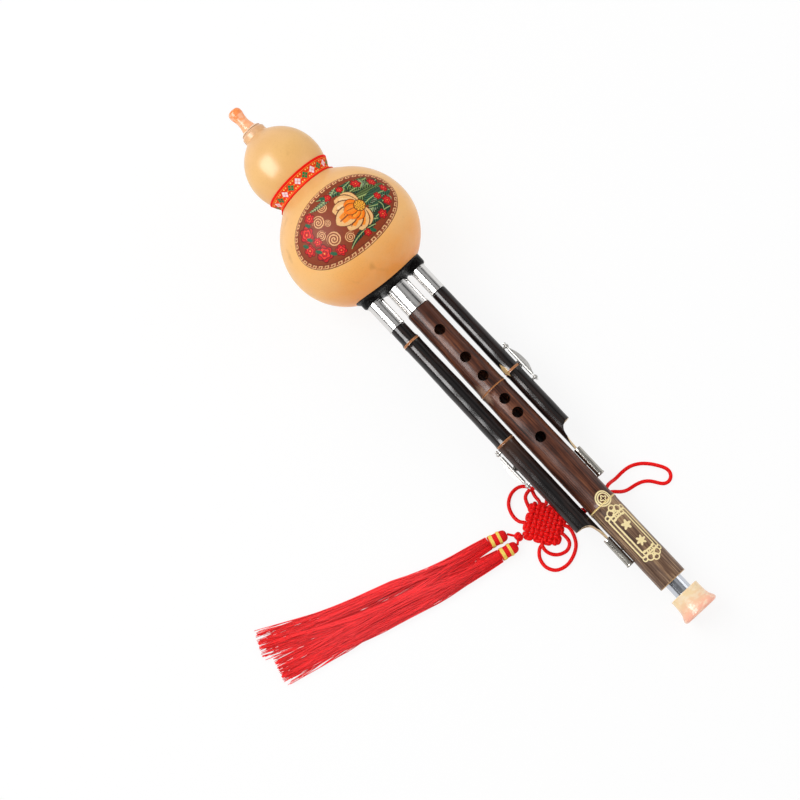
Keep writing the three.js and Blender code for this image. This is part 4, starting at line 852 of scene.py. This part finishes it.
def picture_colours(x, y):
    """The carved picture: a key pattern border, a water lily, ferns, blossoms and scrolls; all generic."""
    rng = np.random.default_rng(7)
    away = np.hypot(x / PICTURE_SIZE[0], y / PICTURE_SIZE[1])
    edge = (1 - away) * np.hypot(x, y) / np.maximum(away, 0.05)
    colour = np.empty(x.shape + (3,))

    def fill(where, *screen):
        colour[where] = tint(*screen)[:3]

    fill(..., 142, 60, 30)
    for cx, cy, wide, way in SCROLLS:
        out = np.hypot(x - cx, y - cy)
        wound = (out / (0.36 * wide) - way * np.arctan2(y - cy, x - cx) / TURN) % 1
        fill((out < wide) & (wound < 0.45), 236, 180, 124)
    for number, (root, tip, bend, leaves, width) in enumerate(FERNS):
        leaf, rib, inside = frond(x, y, np.array(root, float), tip, bend, leaves, width)
        fill(inside, 44, 34, 28)
        fill(leaf, *FERN_GREENS[number % len(FERN_GREENS)])
        fill(rib, 176, 190, 120)
    for number, (turn, length, width) in enumerate(LILY):
        inside, t = petal(x, y, LILY_BASE, math.radians(turn - 90), length, width)
        outer, inner = LILY_COLOURS[number < OUTER_PETALS]
        fill(inside > -0.14, 92, 34, 20)
        fill(inside > 0, *outer)
        fill((inside > 0.45) & (t < 0.8), *(inner if number % 2 else (248, 140, 40)))
        fill((inside > 0.93) & (t < 0.85), 140, 62, 34)
    beside, over = x - LILY_HEART[0], y - LILY_HEART[1]
    heart = np.hypot(beside, over)
    seeds = np.cos(9 * np.arctan2(over, beside)) * np.cos(heart * 3.2)
    fill(heart < 4.2, 92, 34, 20)
    fill((heart < 3.6) & (seeds > -0.3), 250, 176, 60)
    for cx, cy, size in BLOSSOMS:
        turn = rng.uniform(0, 6)
        for share, petals, rim, red in BLOSSOM_LAYERS:
            flower, flower_away = blossom(x, y, cx, cy, size * share, petals, turn + share)
            fill(flower > 0, *red)
            fill(within(flower, 0, rim), 112, 18, 18)
        fill(flower_away < 0.24, 250, 170, 80)
    for cx, cy in LEAVES:
        leaf = np.hypot((x - cx) * 0.8 + (y - cy) * 0.6, ((y - cy) * 0.8 - (x - cx) * 0.6) * 2.0)
        fill(leaf < 2.5, 40, 98, 66)
    share = (np.arctan2(x / PICTURE_SIZE[0], y / PICTURE_SIZE[1]) / TURN * BORDER["keys"]) % 1
    deep = edge - 0.8
    key = ((deep < 0.6) & (share < 0.86)) | ((share < 0.15) & (deep < 2.7)) \
        | (within(deep, 2.1, 2.7) & (share < 0.62)) | (within(share, 0.47, 0.62) & within(deep, 1.1, 2.7))
    border = edge < BORDER["width"]
    fill(border, 150, 74, 48)
    fill(border & key & (deep > 0), 240, 186, 130)
    fill((np.abs(edge - BORDER["line"]) < 0.28) | (edge < 0.45), 112, 46, 28)
    return colour


def gourd_picture():
    """An oval skin on the large bulb: square s, t turned to a disc by s*sqrt(1 - t*t/2), its rim sunk in."""
    s, t = np.meshgrid(np.linspace(-1, 1, 200), np.linspace(-1, 1, 330), indexing="ij")
    a = PICTURE_SIZE[0] * s * np.sqrt(1 - t * t / 2)
    b = PICTURE_SIZE[1] * t * np.sqrt(1 - s * s / 2)
    rim = np.maximum(np.abs(s), np.abs(t))
    lift = np.where(rim > 0.999, -0.35, 0.05)
    grid = picture_place(a, b, lift)
    rows, columns = grid.shape[:2]
    row, column = np.meshgrid(np.arange(rows - 1), np.arange(columns - 1), indexing="ij")
    corner = [((row + r) * columns + column + c).ravel() for r, c in ((0, 0), (0, 1), (1, 1), (1, 0))]
    index = np.arange(rows * columns).reshape(rows, columns)
    around = np.concatenate([index[0, :-1], index[:-1, -1], index[-1, :0:-1], index[:0:-1, 0]])
    under = picture_place(np.array(0.0), np.array(0.0), np.array(-1.5))
    points = np.vstack([grid.reshape(-1, 3), under])
    back = np.stack([np.roll(around, -1), around, np.full(len(around), rows * columns)], 1)
    flat = np.append(np.stack([a, b], -1).reshape(-1, 2), [[0, 0]], 0) / 100 + 0.5
    faces = [np.stack(corner, 1)[:, ::-1], back[:, ::-1]]
    piece = make_piece("gourd_picture", (points, faces, [flat[f] for f in faces]), PICTURE,
                       sharp=60)
    colours = np.ones((len(points), 4), np.float32)
    colours[:-1, :3] = picture_colours(a, b).reshape(-1, 3)
    layer = piece.data.color_attributes.new("Design", "FLOAT_COLOR", "POINT")
    layer.data.foreach_set("color", colours.ravel())


def mouthpiece():
    """The turned resin mouthpiece and the pale collar under it."""
    outer = smooth_line([(0.9, 4.3), (2.0, 4.75), (4.4, 4.75), (7.0, 4.2), (10.0, 3.9), (13.2, 4.2), (15.4, 4.75),
                         (16.7, 4.9)], 60)
    rim = [(0.05, 2.4), (0.0, 2.9), (0.2, 3.6)]
    spigot = [(16.9, 4.8), (16.95, 3.0), (25.5, 3.0), (25.5, 1.6)]
    profile = np.vstack([[(25.5, 1.6), (0.5, 1.7)], rim, outer, spigot])
    make_piece("mouthpiece_turned", turned_arrays(profile, 96), ORANGE_RESIN, "mouthpiece", sharp=50)
    collar = [(17.25, 3.3), (17.2, 5.6), (17.3, 5.9), (17.8, 6.5), (18.3, 7.1), (18.65, 7.5), (18.8, 7.4),
              (18.8, 3.3), (17.25, 3.3)]
    make_piece("mouthpiece_collar_turned", turned_arrays(collar, 96), COLLAR_RESIN, "mouthpiece_collar",
               sharp=50)


def ribbon():
    """A woven band round the waist, its edges a little thicker; UV is the turn and metres over the band."""
    out = np.linspace(-5.0, 5.0, 48)
    edge = np.abs(out)
    lift = 0.75 + 0.12 * ease(np.clip((edge - 3.9) / 0.5, 0, 1)) - 0.35 * ease(np.clip((edge - 4.8) / 0.2, 0, 1))
    along = GOURD["waist"] + 0.9 + out
    outer = np.stack([along, gourd_radius(along) + lift], 1)
    inner = np.stack([along, gourd_radius(along) + 0.1], 1)[::-1]
    profile = np.vstack([inner, outer, inner[:1]])
    points, faces, uv = turned_arrays(profile, 256)
    middle = line_length(np.vstack([inner, outer])) - line_length(outer) / 2
    uv = [own - (0, 0.001 * middle) for own in uv]
    make_piece("waist_ribbon_woven", (points, faces, uv), RIBBON, "waist_ribbon", sharp=60)


def pipe_seat():
    """Three collars and a dish over the gourd's foot, run together as poured resin.

    The dish lies along the foot's own curve x(r) = lower + half * sqrt(1 - (r / radius)^2), inside an ellipse.
    """
    turn = TURN * np.arange(160) / 160
    flat = np.linspace(0.02, 0.95, 36)
    share = np.concatenate([flat, [0.98, 1.0, 0.985], flat[::-1]])[:, None]
    lift = np.concatenate([np.full(36, -1.3), [-0.9, -0.2, 0.5], np.full(36, 0.9)])[:, None]
    across = SEAT["half_width"] * share * np.sin(turn) + SEAT["across"]
    above = SEAT["half_height"] * share * np.cos(turn)
    foot = GOURD["lower"] + FOOT_HALF * np.sqrt(1 - np.hypot(across, above) ** 2 / GOURD["lower_radius"] ** 2)
    spread = np.stack(np.meshgrid(np.arange(161) / 160, 0.001 * np.arange(len(share))), -1)
    parts = [skin_arrays(on_instrument(foot + lift, across, above), spread)]
    for pipe in (MAIN, LEFT, RIGHT):
        radius = pipe["ferrule"] + SEAT["wall"]
        low, top = SEAT["start"], pipe["seat"]
        profile = [(low, 0.2), (low, radius - 0.5), (low + 0.6, radius), (top - 1.6, radius),
                   (top - 0.6, radius - 0.5), (top - 0.1, radius - 1.3), (top, radius - 2.6), (top, 0.2)]
        parts.append(turned_arrays(fine_profile(profile, 0.8), 72, pipe["across"], ring=False))
    piece = make_piece("pipe_seat_poured", join_arrays(parts), BLACK_RESIN, "pipe_seat")
    remesh = piece.modifiers.new("melt", "REMESH")
    remesh.mode = "VOXEL"
    remesh.voxel_size = SEAT["grain"]
    soften = piece.modifiers.new("soften", "SMOOTH")
    soften.factor = 0.6
    soften.iterations = 12
    settle(piece, sharp=80)
    paint(piece, BLACK_RESIN)


def ferrule(name, pipe):
    """A drawn metal sleeve with a rolled bead at each end."""
    outer, inner = pipe["ferrule"], pipe["ferrule"] - FERRULE["wall"]
    foot, sunk = FERRULE["end"], pipe["seat"] - 2
    bead = [(0.0, 0.0), (0.12, 0.16), (0.6, 0.25), (1.08, 0.16), (1.2, 0.0)]
    beads = [(start + a, outer + r) for start in (pipe["seat"] + 0.3, foot - 1.2) for a, r in bead]
    profile = [(sunk, inner), (sunk, outer), *beads, (foot, outer - 0.3), (foot, inner), (sunk, inner)]
    make_piece(f"{name}_ferrule_turned", turned_arrays(fine_profile(profile, 1.5), 128, pipe["across"]), STEEL,
               f"{name}_ferrule")


def bamboo_radius(pipe, distance):
    """r(d) blended over top, middle and foot radii, plus each node's swelling and the groove on it."""
    share = np.clip(distance / pipe["length"], 0, 1)
    upper = pipe["top"] + (pipe["middle"] - pipe["top"]) * ease(np.clip(2 * share, 0, 1))
    radius = upper + (pipe["foot"] - pipe["middle"]) * ease(np.clip(2 * share - 1, 0, 1))
    for node in pipe["nodes"]:
        away = distance - node
        radius = radius + pipe["swell"] * np.exp(-(away / 1.9) ** 2) - 0.55 * np.exp(-(away / 0.32) ** 2)
    if pipe is LEFT:
        radius = radius - 0.5 * (1 - ease(np.clip((distance - 9.5) / 3.0, 0, 1)))
    return radius + 0.05 * np.sin(distance / 7.0) + 0.03 * np.sin(distance / 2.7)


def bamboo_stations(pipe, end):
    """Places along a pipe, a millimetre apart, closer at its nodes."""
    close = [node + np.linspace(-3, 3, 41) for node in pipe["nodes"]]
    return np.unique(np.round(np.concatenate([np.linspace(0, end, int(end)), *close]), 3))


def box_sweep(name, along, corners):
    """A cutter with a four cornered section at each place along the instrument."""
    places = along[:, None] + np.zeros(4)
    across, above = (np.stack([along * 0 + corner[k] for corner in corners], 1) for k in (0, 1))
    grid = on_instrument(places, across, above)
    return make_piece(name, skin_arrays(grid, np.zeros((len(places), 5, 2))), RAW_BAMBOO, body=None)


def drill(name, along, direction, radius, start=0.0, reach=14.0, drop=0.0):
    """A round cutter square to the pipe, from the start to the reach in a direction in (across, above)."""
    sides, rows = 48, 12
    angle = TURN * np.arange(sides) / sides
    out = np.linspace(start, reach, rows)[:, None]
    one, two = direction
    side = radius * np.sin(angle)
    grid = on_instrument(along + radius * np.cos(angle) + 0 * out, one * out - two * side,
                         two * out + one * side - drop)
    return make_piece(name, skin_arrays(grid, np.zeros((rows, sides + 1, 2))), HOLE_WALL, body=None)


def bamboo_outside(pipe, end):
    """A pipe's profile without its foot: bore, tenon in the ferrule, and the outside as far as the end."""
    tenon = pipe["ferrule"] - FERRULE["wall"] - GAP
    start = SHOULDER - TENON_LENGTH
    distance = bamboo_stations(pipe, end)
    outside = np.stack([SHOULDER + distance, bamboo_radius(pipe, distance)], 1)
    return np.vstack([[(start, pipe["bore"]), (start, tenon), (SHOULDER, tenon)], outside])


def main_pipe():
    """The fingered pipe with its socket for the tuning slide, finger holes, thumb hole, vent and cord holes."""
    socket = PIPE_END - SOCKET["depth"]
    outside = bamboo_outside(MAIN, MAIN["length"])
    rim = outside[-1, 1]
    profile = np.vstack([outside[:-1], [
        (PIPE_END - 0.25, rim), (PIPE_END, rim - 0.25), (PIPE_END, SOCKET["radius"]), (socket, SOCKET["radius"]),
        (socket, MAIN["bore"])], outside[:1]])
    piece = make_piece("main_pipe_bamboo", turned_arrays(profile, 144), BROWN_BAMBOO, "main_pipe")
    holes = [drill(f"finger_{k}", along, (0.0, 1.0), 3.7) for k, along in enumerate(FINGER_HOLES)]
    holes.append(drill("thumb", SHOULDER + 9.6, (0.0, -1.0), 3.2))
    holes.append(drill("vent", PIPE_END - 52, (0.0, -1.0), 2.2))
    holes.append(drill("cord", PIPE_END - 71.9, (1.0, 0.0), 3.2, start=-14.0, drop=5.6))
    cut(piece, holes)


def drone(name, pipe):
    """A drone pipe, swept away at its foot to a pale slash and a narrow tongue that enters its clip."""
    side = math.copysign(1, pipe["across"])
    slash = SHOULDER + pipe["length"]
    tip = slash + pipe["slash"]
    end = tip + GAP + 3.8
    outside = bamboo_outside(pipe, end - SHOULDER)
    profile = np.vstack([outside, [(end, pipe["bore"])], outside[:1]])
    piece = make_piece(f"{name}_drone_bamboo", turned_arrays(profile, 112, pipe["across"]), BLACK_BAMBOO,
                       f"{name}_drone_pipe")
    outer = pipe["across"] + side * pipe["foot"]
    inner = pipe["across"] - side * (pipe["foot"] - 1.5)
    knots = np.array([(0, 0), (0.04, 0.53), (0.2, 0.84), (0.5, 0.97), (1, 1)])
    sweep = smooth_line(np.stack([slash + knots[:, 0] * pipe["slash"], outer + knots[:, 1] * (inner - outer)], 1), 60)
    sweep = np.vstack([sweep, [end + 2, inner]])
    far = outer + side * 3
    high = pipe["foot"] + 2
    near = sweep[:, 1]
    cutters = [box_sweep(f"{name}_slash", sweep[:, 0], ((near, -high), (near, high), (far, high), (far, -high)))]
    begin = slash + pipe["slash"] / 4
    half = TONGUE_HALF_WIDTH
    middle = half + 0.4 * (pipe["foot"] - half)
    edge = smooth_line([(begin, pipe["foot"] + 0.2), ((begin + tip) / 2, middle), (tip, half), (end + 2, half)], 40)
    low, up = pipe["across"] - high, pipe["across"] + high
    for way in (1, -1):
        near, top = way * edge[:, 1], way * high
        corners = (low, near), (up, near), (up, top), (low, top)
        cutters.append(box_sweep(f"{name}_trim_{way + 1}", edge[:, 0], corners))
    cut(piece, cutters)


def clip(name, pipe):
    """A metal sleeve beside the main pipe that takes the drone's tongue, with a rolled ring at its foot."""
    side = math.copysign(1, pipe["across"])
    radius, bore = CLIP["radius"], CLIP["bore"]
    across = side * (MAIN["foot"] + GAP + radius)
    start = SHOULDER + pipe["length"] + pipe["slash"] + GAP
    end = start + CLIP["length"]
    ring = [(end - 1.35, radius), (end - 1.25, 2.77), (end - 0.9, 2.89), (end - 0.45, 2.89), (end - 0.1, 2.75),
            (end, 2.5)]
    profile = [(start, bore), (start, 2.5), (start + 0.15, radius), *ring, (end, bore), (start, bore)]
    parts = [turned_arrays(fine_profile(profile, 2.0), 72, across)]
    pin = side * np.linspace(MAIN["foot"] - 2, abs(across) - 2.35, 8)
    parts.append(swept_arrays(on_instrument(start + CLIP["length"] / 2, pin, 0.0), 0.0008, 24))
    make_piece(f"{name}_clip_sleeve", join_arrays(parts), WORN_STEEL, f"{name}_drone_clip")


def tuning_slide():
    """The metal slide and the cast bell, which pull out of the foot together."""
    start, end = PIPE_END - TUBE["depth"], BELL["start"] + TUBE["in_bell"]
    radius, bore = TUBE["radius"], TUBE["bore"]
    profile = [(start, bore), (start, radius - 0.2), (start + 0.2, radius), (end, radius), (end, bore), (start, bore)]
    make_piece("tuning_tube_drawn", turned_arrays(fine_profile(profile, 2.0), 128), TUBE_STEEL, "tuning_tube",
               body="tuning")
    b = BELL["start"]
    flare = smooth_line([(b + 0.4, 10.8), (b + 4.5, 10.8), (b + 10.7, 11.45), (b + 13.8, 12.9), (b + 15.3, 13.4),
                         (b + 16.3, 13.2), (b + 16.9, 12.6), (b + 17.2, 11.8)], 90)
    mouth = smooth_line([(b + 17.0, 11.2), (b + 12.9, 9.1), (b + 9.5, 6.6), (b + 6.0, 5.4)], 40)
    profile = np.vstack([[(b, 6.6), (b, 10.3), (b + 0.1, 10.6)], flare, mouth, [(b + 6, 6.6), (b, 6.6)]])
    make_piece("foot_bell_cast", turned_arrays(profile, 144), CREAM_RESIN, "foot_bell", body="tuning",
               sharp=50)


def knot_runs(turn, phase, passes=7):
    """A cord laid to and fro, riding over and under the cords that cross it."""
    pitch = KNOT["span"] / (passes - 1)
    half = KNOT["span"] / 2
    end = half + 0.62 * pitch
    points = []
    for row in range(passes):
        way = 1 if row % 2 == 0 else -1
        across = row * pitch - half
        points.append((-way * end, across, 0))
        for step in range(2 * (passes - 1) + 1):
            along = way * (step * pitch / 2 - half)
            points.append((along, across, 1.4 * math.cos(math.pi * (along / pitch + row + phase))))
        points.append((way * end, across, 0))
    points = np.array(points)
    c, s = math.cos(turn), math.sin(turn)
    flat = points[:, :2] @ np.array([[c, s], [-s, c]])
    return np.column_stack([flat, points[:, 2]]) + KNOT["centre"]


def cord_tube(route, radius=CORD_RADIUS, per_mm=3.0, sides=12):
    """Arrays of a round cord along a route in millimetres."""
    count = int(per_mm * line_length(np.asarray(route, float)))
    line = 0.001 * smooth_line(route, count)
    line[:, 2] = np.maximum(line[:, 2], 0.001 * radius + 0.00005)
    return swept_arrays(line, 0.001 * radius, sides)


def knot():
    """The woven knot, its ears and the round button under it, of one cord."""
    rows = knot_runs(KNOT["turn"], 0)
    columns = knot_runs(KNOT["turn"] + math.pi / 2, 1)
    parts = [cord_tube(rows, KNOT["radius"]), cord_tube(columns, KNOT["radius"]),
             *(cord_tube(ear) for ear in (LEFT_EAR, CORNER_EAR, FOOT_EAR, TOP_EAR))]
    turn = np.linspace(0, TURN, 160)
    rise = 1.0 * np.sin(5 * turn)
    out = 2.15 + 0.3 * np.cos(10 * turn + 0.6)
    around = 2 * turn
    flat = out * np.cos(rise)
    wound = np.stack([flat * np.cos(around), flat * np.sin(around), out * np.sin(rise)], 1)
    tilt = np.array([[1, 0, 0], [0, 0, -1], [0, 1, 0]], float)
    parts.append(swept_arrays(0.001 * (wound @ tilt + BUTTON), 0.00095, 10))
    half_turn = np.linspace(0, np.pi, 16)
    core = np.stack([2.2 * np.cos(half_turn), 2.2 * np.sin(half_turn) + 0.01], 1)
    parts.append(turned_arrays(core, 24, ring=False, place=lambda a, b, c: 0.001 * (np.stack(
        np.broadcast_arrays(a, b, c), -1) + BUTTON)))
    return make_piece("knot_woven", join_arrays(parts), RED_CORD, "knot")


def head_place(index):
    """A function that puts a place along, across and above a tassel head's own line onto the table."""
    start, end = np.array(HEADS[index]), np.array(SKIRTS[index][0])
    ahead = (end - start) / np.linalg.norm(end - start)
    side = np.array([-ahead[1], ahead[0]])

    def place(along, across, above):
        along, across, above = np.broadcast_arrays(along, across, above)
        flat = start + along[..., None] * ahead + across[..., None] * side
        return 0.001 * np.concatenate([flat, (HEAD_HEIGHT + above)[..., None]], -1)

    return place


def tassel(index, name):
    """A tassel's short cord, thread-wound head, two gold bands and hanging threads."""
    place = head_place(index)
    made = []
    end = np.array((*HEADS[index], HEAD_HEIGHT))
    start = np.array(BUTTON)
    way = (end - start) / np.linalg.norm(end - start)
    line = 0.001 * np.linspace(start + 3.2 * way, end - 0.25 * way, 24)
    made.append(make_piece(f"{name}_tassel_cord_twisted", swept_arrays(line, 0.00085, 12), RED_CORD,
                           f"{name}_tassel_cord"))
    profile = smooth_line([(0.05, 0.2), (0.1, 1.6), (0.9, 3.1), (2.6, 3.9), (4.6, 4.05), (7.6, 4.15), (10, 4.05),
                           (12.9, 4.15), (13.1, 3.0), (13.1, 0.3)], 90)
    made.append(make_piece(f"{name}_tassel_head_wound", turned_arrays(profile, 80, ring=False, place=place),
                           HEAD_THREAD, f"{name}_tassel_head"))
    for band, start_mm, length in (("upper", 4.6, 2.0), ("lower", 9.8, 2.4)):
        turns = np.linspace(0, length, 49)
        lift = 4.42 + 0.13 * np.abs(np.sin(np.pi * turns / length * 6))
        outer = np.stack([start_mm + turns, lift], 1)
        profile = np.vstack([[(start_mm, 4.1)], outer, [(start_mm + length, 4.1), (start_mm, 4.1)]])
        made.append(make_piece(f"{name}_tassel_{band}_band_wound", turned_arrays(profile, 72, place=place),
                               GOLD_THREAD, f"{name}_tassel_{band}_band", sharp=80))
    threads(index, name)
    return made


def threads(index, name, count=250):
    """Loose threads: c(s) + n(s) w(s) a(s) + z h(s)(1 + b(s))/2, gathered into locks that part towards the ends."""
    rng = np.random.default_rng(31 + index)
    steps = 44
    share = np.linspace(0, 1, steps)

    def sway(low, high, rows):
        """A wave over the length for each row, of its own number of turns and its own start."""
        return np.sin(TURN * (share * rng.uniform(low, high, (rows, 1)) + rng.uniform(0, 1, (rows, 1))))

    def at_run(values):
        return np.interp(run, share, values)

    centre = smooth_line(SKIRTS[index], steps)
    ahead = np.gradient(centre, axis=0)
    ahead /= np.linalg.norm(ahead, axis=1)[:, None]
    side = np.stack([-ahead[:, 1], ahead[:, 0]], 1)
    places = np.linspace(0, 1, 5)
    half = np.interp(share, places, SKIRT_HALF_WIDTHS[index]) - 0.3
    height = np.interp(share, places, SKIRT_HEIGHTS)
    locks = 17
    lock = rng.integers(0, locks, count)
    middle = np.linspace(-0.86, 0.86, locks)[rng.permutation(locks)]
    turn = rng.uniform(0, TURN, count)
    away = np.sqrt(rng.uniform(0, 1, count))
    a0, b0 = away * np.cos(turn), away * np.sin(turn)
    drift = 0.22 * sway(0.5, 1.2, locks)
    gather = ease(np.clip(share / 0.45, 0, 1))
    loose = ease(np.clip((share - 0.6) / 0.4, 0, 1))
    target = middle[lock][:, None] + drift[lock] + 0.13 * rng.standard_normal((count, 1))
    a = a0[:, None] * (1 - gather) + target * gather + loose * 0.28 * rng.standard_normal((count, 1))
    a += 0.035 * sway(1, 3, count)
    b = b0[:, None] * np.sqrt(np.clip(1 - np.clip(a, -1, 1) ** 2, 0.05, 1)) + 0.05 * sway(1, 2, count)
    a = np.clip(a, -1.08, 1.08)
    cutoff = 1 - 0.1 * rng.uniform(0, 1, count) ** 1.5
    run = share[None] * cutoff[:, None]
    line, beside = (np.stack([at_run(rail[:, k]) for k in range(2)], -1) for rail in (centre, side))
    line += beside * (at_run(half) * a)[..., None]
    up = at_run(height) * (1 + b) / 2
    radius = 0.27 * (1 - 0.25 * share[None] ** 6) + 0 * run
    up = np.maximum(up, radius + 0.02)
    centre_line = np.concatenate([line, up[..., None]], -1)
    sides = 5
    tangent = np.gradient(centre_line, axis=1)
    tangent /= np.linalg.norm(tangent, axis=2)[..., None]
    across = np.cross(tangent, (0.0, 0.0, 1.0))
    across /= np.linalg.norm(across, axis=2)[..., None]
    over = np.cross(across, tangent)
    angle = TURN * np.arange(sides) / sides
    ring = across[:, :, None] * np.cos(angle)[:, None] + over[:, :, None] * np.sin(angle)[:, None]
    grid = 0.001 * (centre_line[:, :, None] + radius[..., None, None] * ring)
    grid[..., 2] = np.maximum(grid[..., 2], 0.00001)
    uv_turn, uv_run = np.meshgrid(np.arange(sides + 1) / (sides + 1) * 0.9, THREAD_LENGTH * share)
    parts = [skin_arrays(own, np.stack([uv_turn + number, uv_run], -1)) for number, own in enumerate(grid)]
    make_piece(f"{name}_tassel_threads", join_arrays(parts), RED_THREAD, f"{name}_tassel_skirt",
               sharp=80)


gourd()
gourd_picture()
mouthpiece()
ribbon()
pipe_seat()
for name, pipe in (("main", MAIN), ("left", LEFT), ("right", RIGHT)):
    ferrule(name, pipe)
main_pipe()
for name, pipe in (("left", LEFT), ("right", RIGHT)):
    drone(name, pipe)
    clip(name, pipe)
tuning_slide()

knot_piece = knot()
tassels = [*tassel(0, "left"), *tassel(1, "right")]
loop_line = 0.001 * slack_line(smooth_line(LOOP_ROUTE, 560), 6)
hanging_loop = make_piece("hanging_loop_braided", swept_arrays(loop_line, 0.001 * CORD_RADIUS, 16), RED_CORD,
                          "hanging_loop")

NODE_FINISHES = {"reed_tube": REED_WOOD, "reed": REED_BRASS, "bush": CORK, "lever": LEVER_PLATE, "rod": LEVER_PLATE,
                 "post": LEVER_PLATE}
for name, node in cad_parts.items():
    if not node.hide_render:
        paint(node, next((finish for word, finish in NODE_FINISHES.items() if name.endswith(word)), STEEL))


# Camera

CAMERA = {"back": (0.22621928, -0.09871478, 0.96906152), "roll": -19.3247, "lens": 115.5692,
          "place": (0.37565691, -0.21737808, 1.67740459)}


def camera_from_photo():
    """The camera 1.7 m off, with its right and up axes turned as the photograph was."""
    back = np.array(CAMERA["back"])
    right = np.cross((0.0, 0.0, 1.0), back)
    right /= np.linalg.norm(right)
    up = np.cross(back, right)
    roll = math.radians(CAMERA["roll"])
    turned_right = math.cos(roll) * right + math.sin(roll) * up
    turned_up = -math.sin(roll) * right + math.cos(roll) * up
    data = bpy.data.cameras.new("camera")
    data.lens = CAMERA["lens"]
    data.sensor_width = 36.0
    data.clip_end = 20.0
    camera = bpy.data.objects.new("camera", data)
    bpy.context.collection.objects.link(camera)
    place = np.eye(4)
    place[:3, :3] = np.stack([turned_right, turned_up, back], 1)
    place[:3, 3] = CAMERA["place"]
    camera.matrix_world = Matrix(place)
    bpy.context.scene.camera = camera


def soft_light(name, direction, distance, size, radiance, target=(-0.01, -0.02, 0.03)):
    """An oblong area light, its first side along x, of the given radiance: power is radiance * pi * area."""
    back = Vector(direction).normalized()
    data = bpy.data.lights.new(name, "AREA")
    data.shape = "RECTANGLE"
    data.size, data.size_y = size
    data.energy = radiance * math.pi * size[0] * size[1]
    light = bpy.data.objects.new(name, data)
    bpy.context.collection.objects.link(light)
    side = (Vector((1, 0, 0)) - back.x * back).normalized()
    turned = Matrix((side, back.cross(side), back)).transposed().to_4x4()
    light.matrix_world = Matrix.Translation(Vector(target) + distance * back) @ turned
    light.visible_camera = False
    return light


def white_paths(shader):
    """1 where a ray comes from the camera, a mirror or a clear piece; and where it comes from a mirror."""
    path = shader.values(shader.add("LightPath"))
    white = path["Is Camera Ray"] + path["Is Glossy Ray"] + path["Is Transmission Ray"]
    return shader.math("MINIMUM", white, 1.0), path["Is Glossy Ray"]


def studio():
    """A white world, a pale floor that keeps the shadow, and soft lights; gloss shows a window between dark walls."""
    world = bpy.data.worlds.new("studio")
    world.use_nodes = True
    bpy.context.scene.world = world
    shader = Shader(world.node_tree, world.node_tree.nodes["Background"])
    white, glossy = white_paths(shader)
    _, across, above = shader.split(shader.coordinate("Generated"))
    turn = shader.math("ARCTAN2", across, above) * (1 / math.pi) + 0.5
    walls = shader.ramp(turn, [(place, (level, level, level, 1.0)) for place, level in WALLS])
    plain = shader.grey(white.between(WORLD_DIFFUSE, 1.0))
    shader.give(Color=shader.mix(glossy, plain, walls))
    key = soft_light("key", (-0.42, -0.38, 0.82), 1.6, (1.5, 1.0), 2.8)
    key.visible_glossy = False
    window = soft_light("window", (-0.39, -0.56, 0.69), 1.6, (1.3, 1.1), 15.0)
    window.visible_diffuse = False
    soft_light("fill", (0.35, 0.80, 0.50), 1.8, (0.9, 0.9), 1.4)
    white_floor()


def white_floor():
    """A wide plane just under the table's height that glows nearly white and still takes a faint shadow."""
    half = 3
    mesh = bpy.data.meshes.new("floor")
    mesh.from_pydata([(-half, -half, 0), (half, -half, 0), (half, half, 0), (-half, half, 0)], [], [(0, 1, 2, 3)])
    floor = bpy.data.objects.new("floor", mesh)
    bpy.context.collection.objects.link(floor)
    floor.location.z = -0.0002
    material = bpy.data.materials.new("floor_white")
    material.use_nodes = True
    nodes = material.node_tree.nodes
    nodes.remove(nodes["Principled BSDF"])
    shader = Shader(material.node_tree, nodes["Material Output"])
    plain = shader.value("BsdfDiffuse", {0: (0.95, 0.95, 0.95, 1.0)})
    glow = shader.value("Emission", {0: (1.0, 1.0, 1.0, 1.0), 1: 1.0})
    shader.give(Surface=shader.value("MixShader", {0: white_paths(shader)[0] * 0.86, 1: plain, 2: glow}))
    paint(floor, material)
    return floor


WORLD_DIFFUSE = 0.64
WALLS = [(0.0, 1.0), (0.05, 1.0), (0.07, 0.05), (0.17, 0.05), (0.19, 0.5), (0.21, 0.08), (0.5, 0.2), (0.53, 0.5),
         (0.69, 0.42), (0.71, 0.03), (0.76, 0.03), (0.78, 0.4), (0.86, 0.4), (0.88, 1.0), (1.0, 1.0)]
camera_from_photo()
studio()
bpy.context.scene.view_settings.view_transform = "Standard"
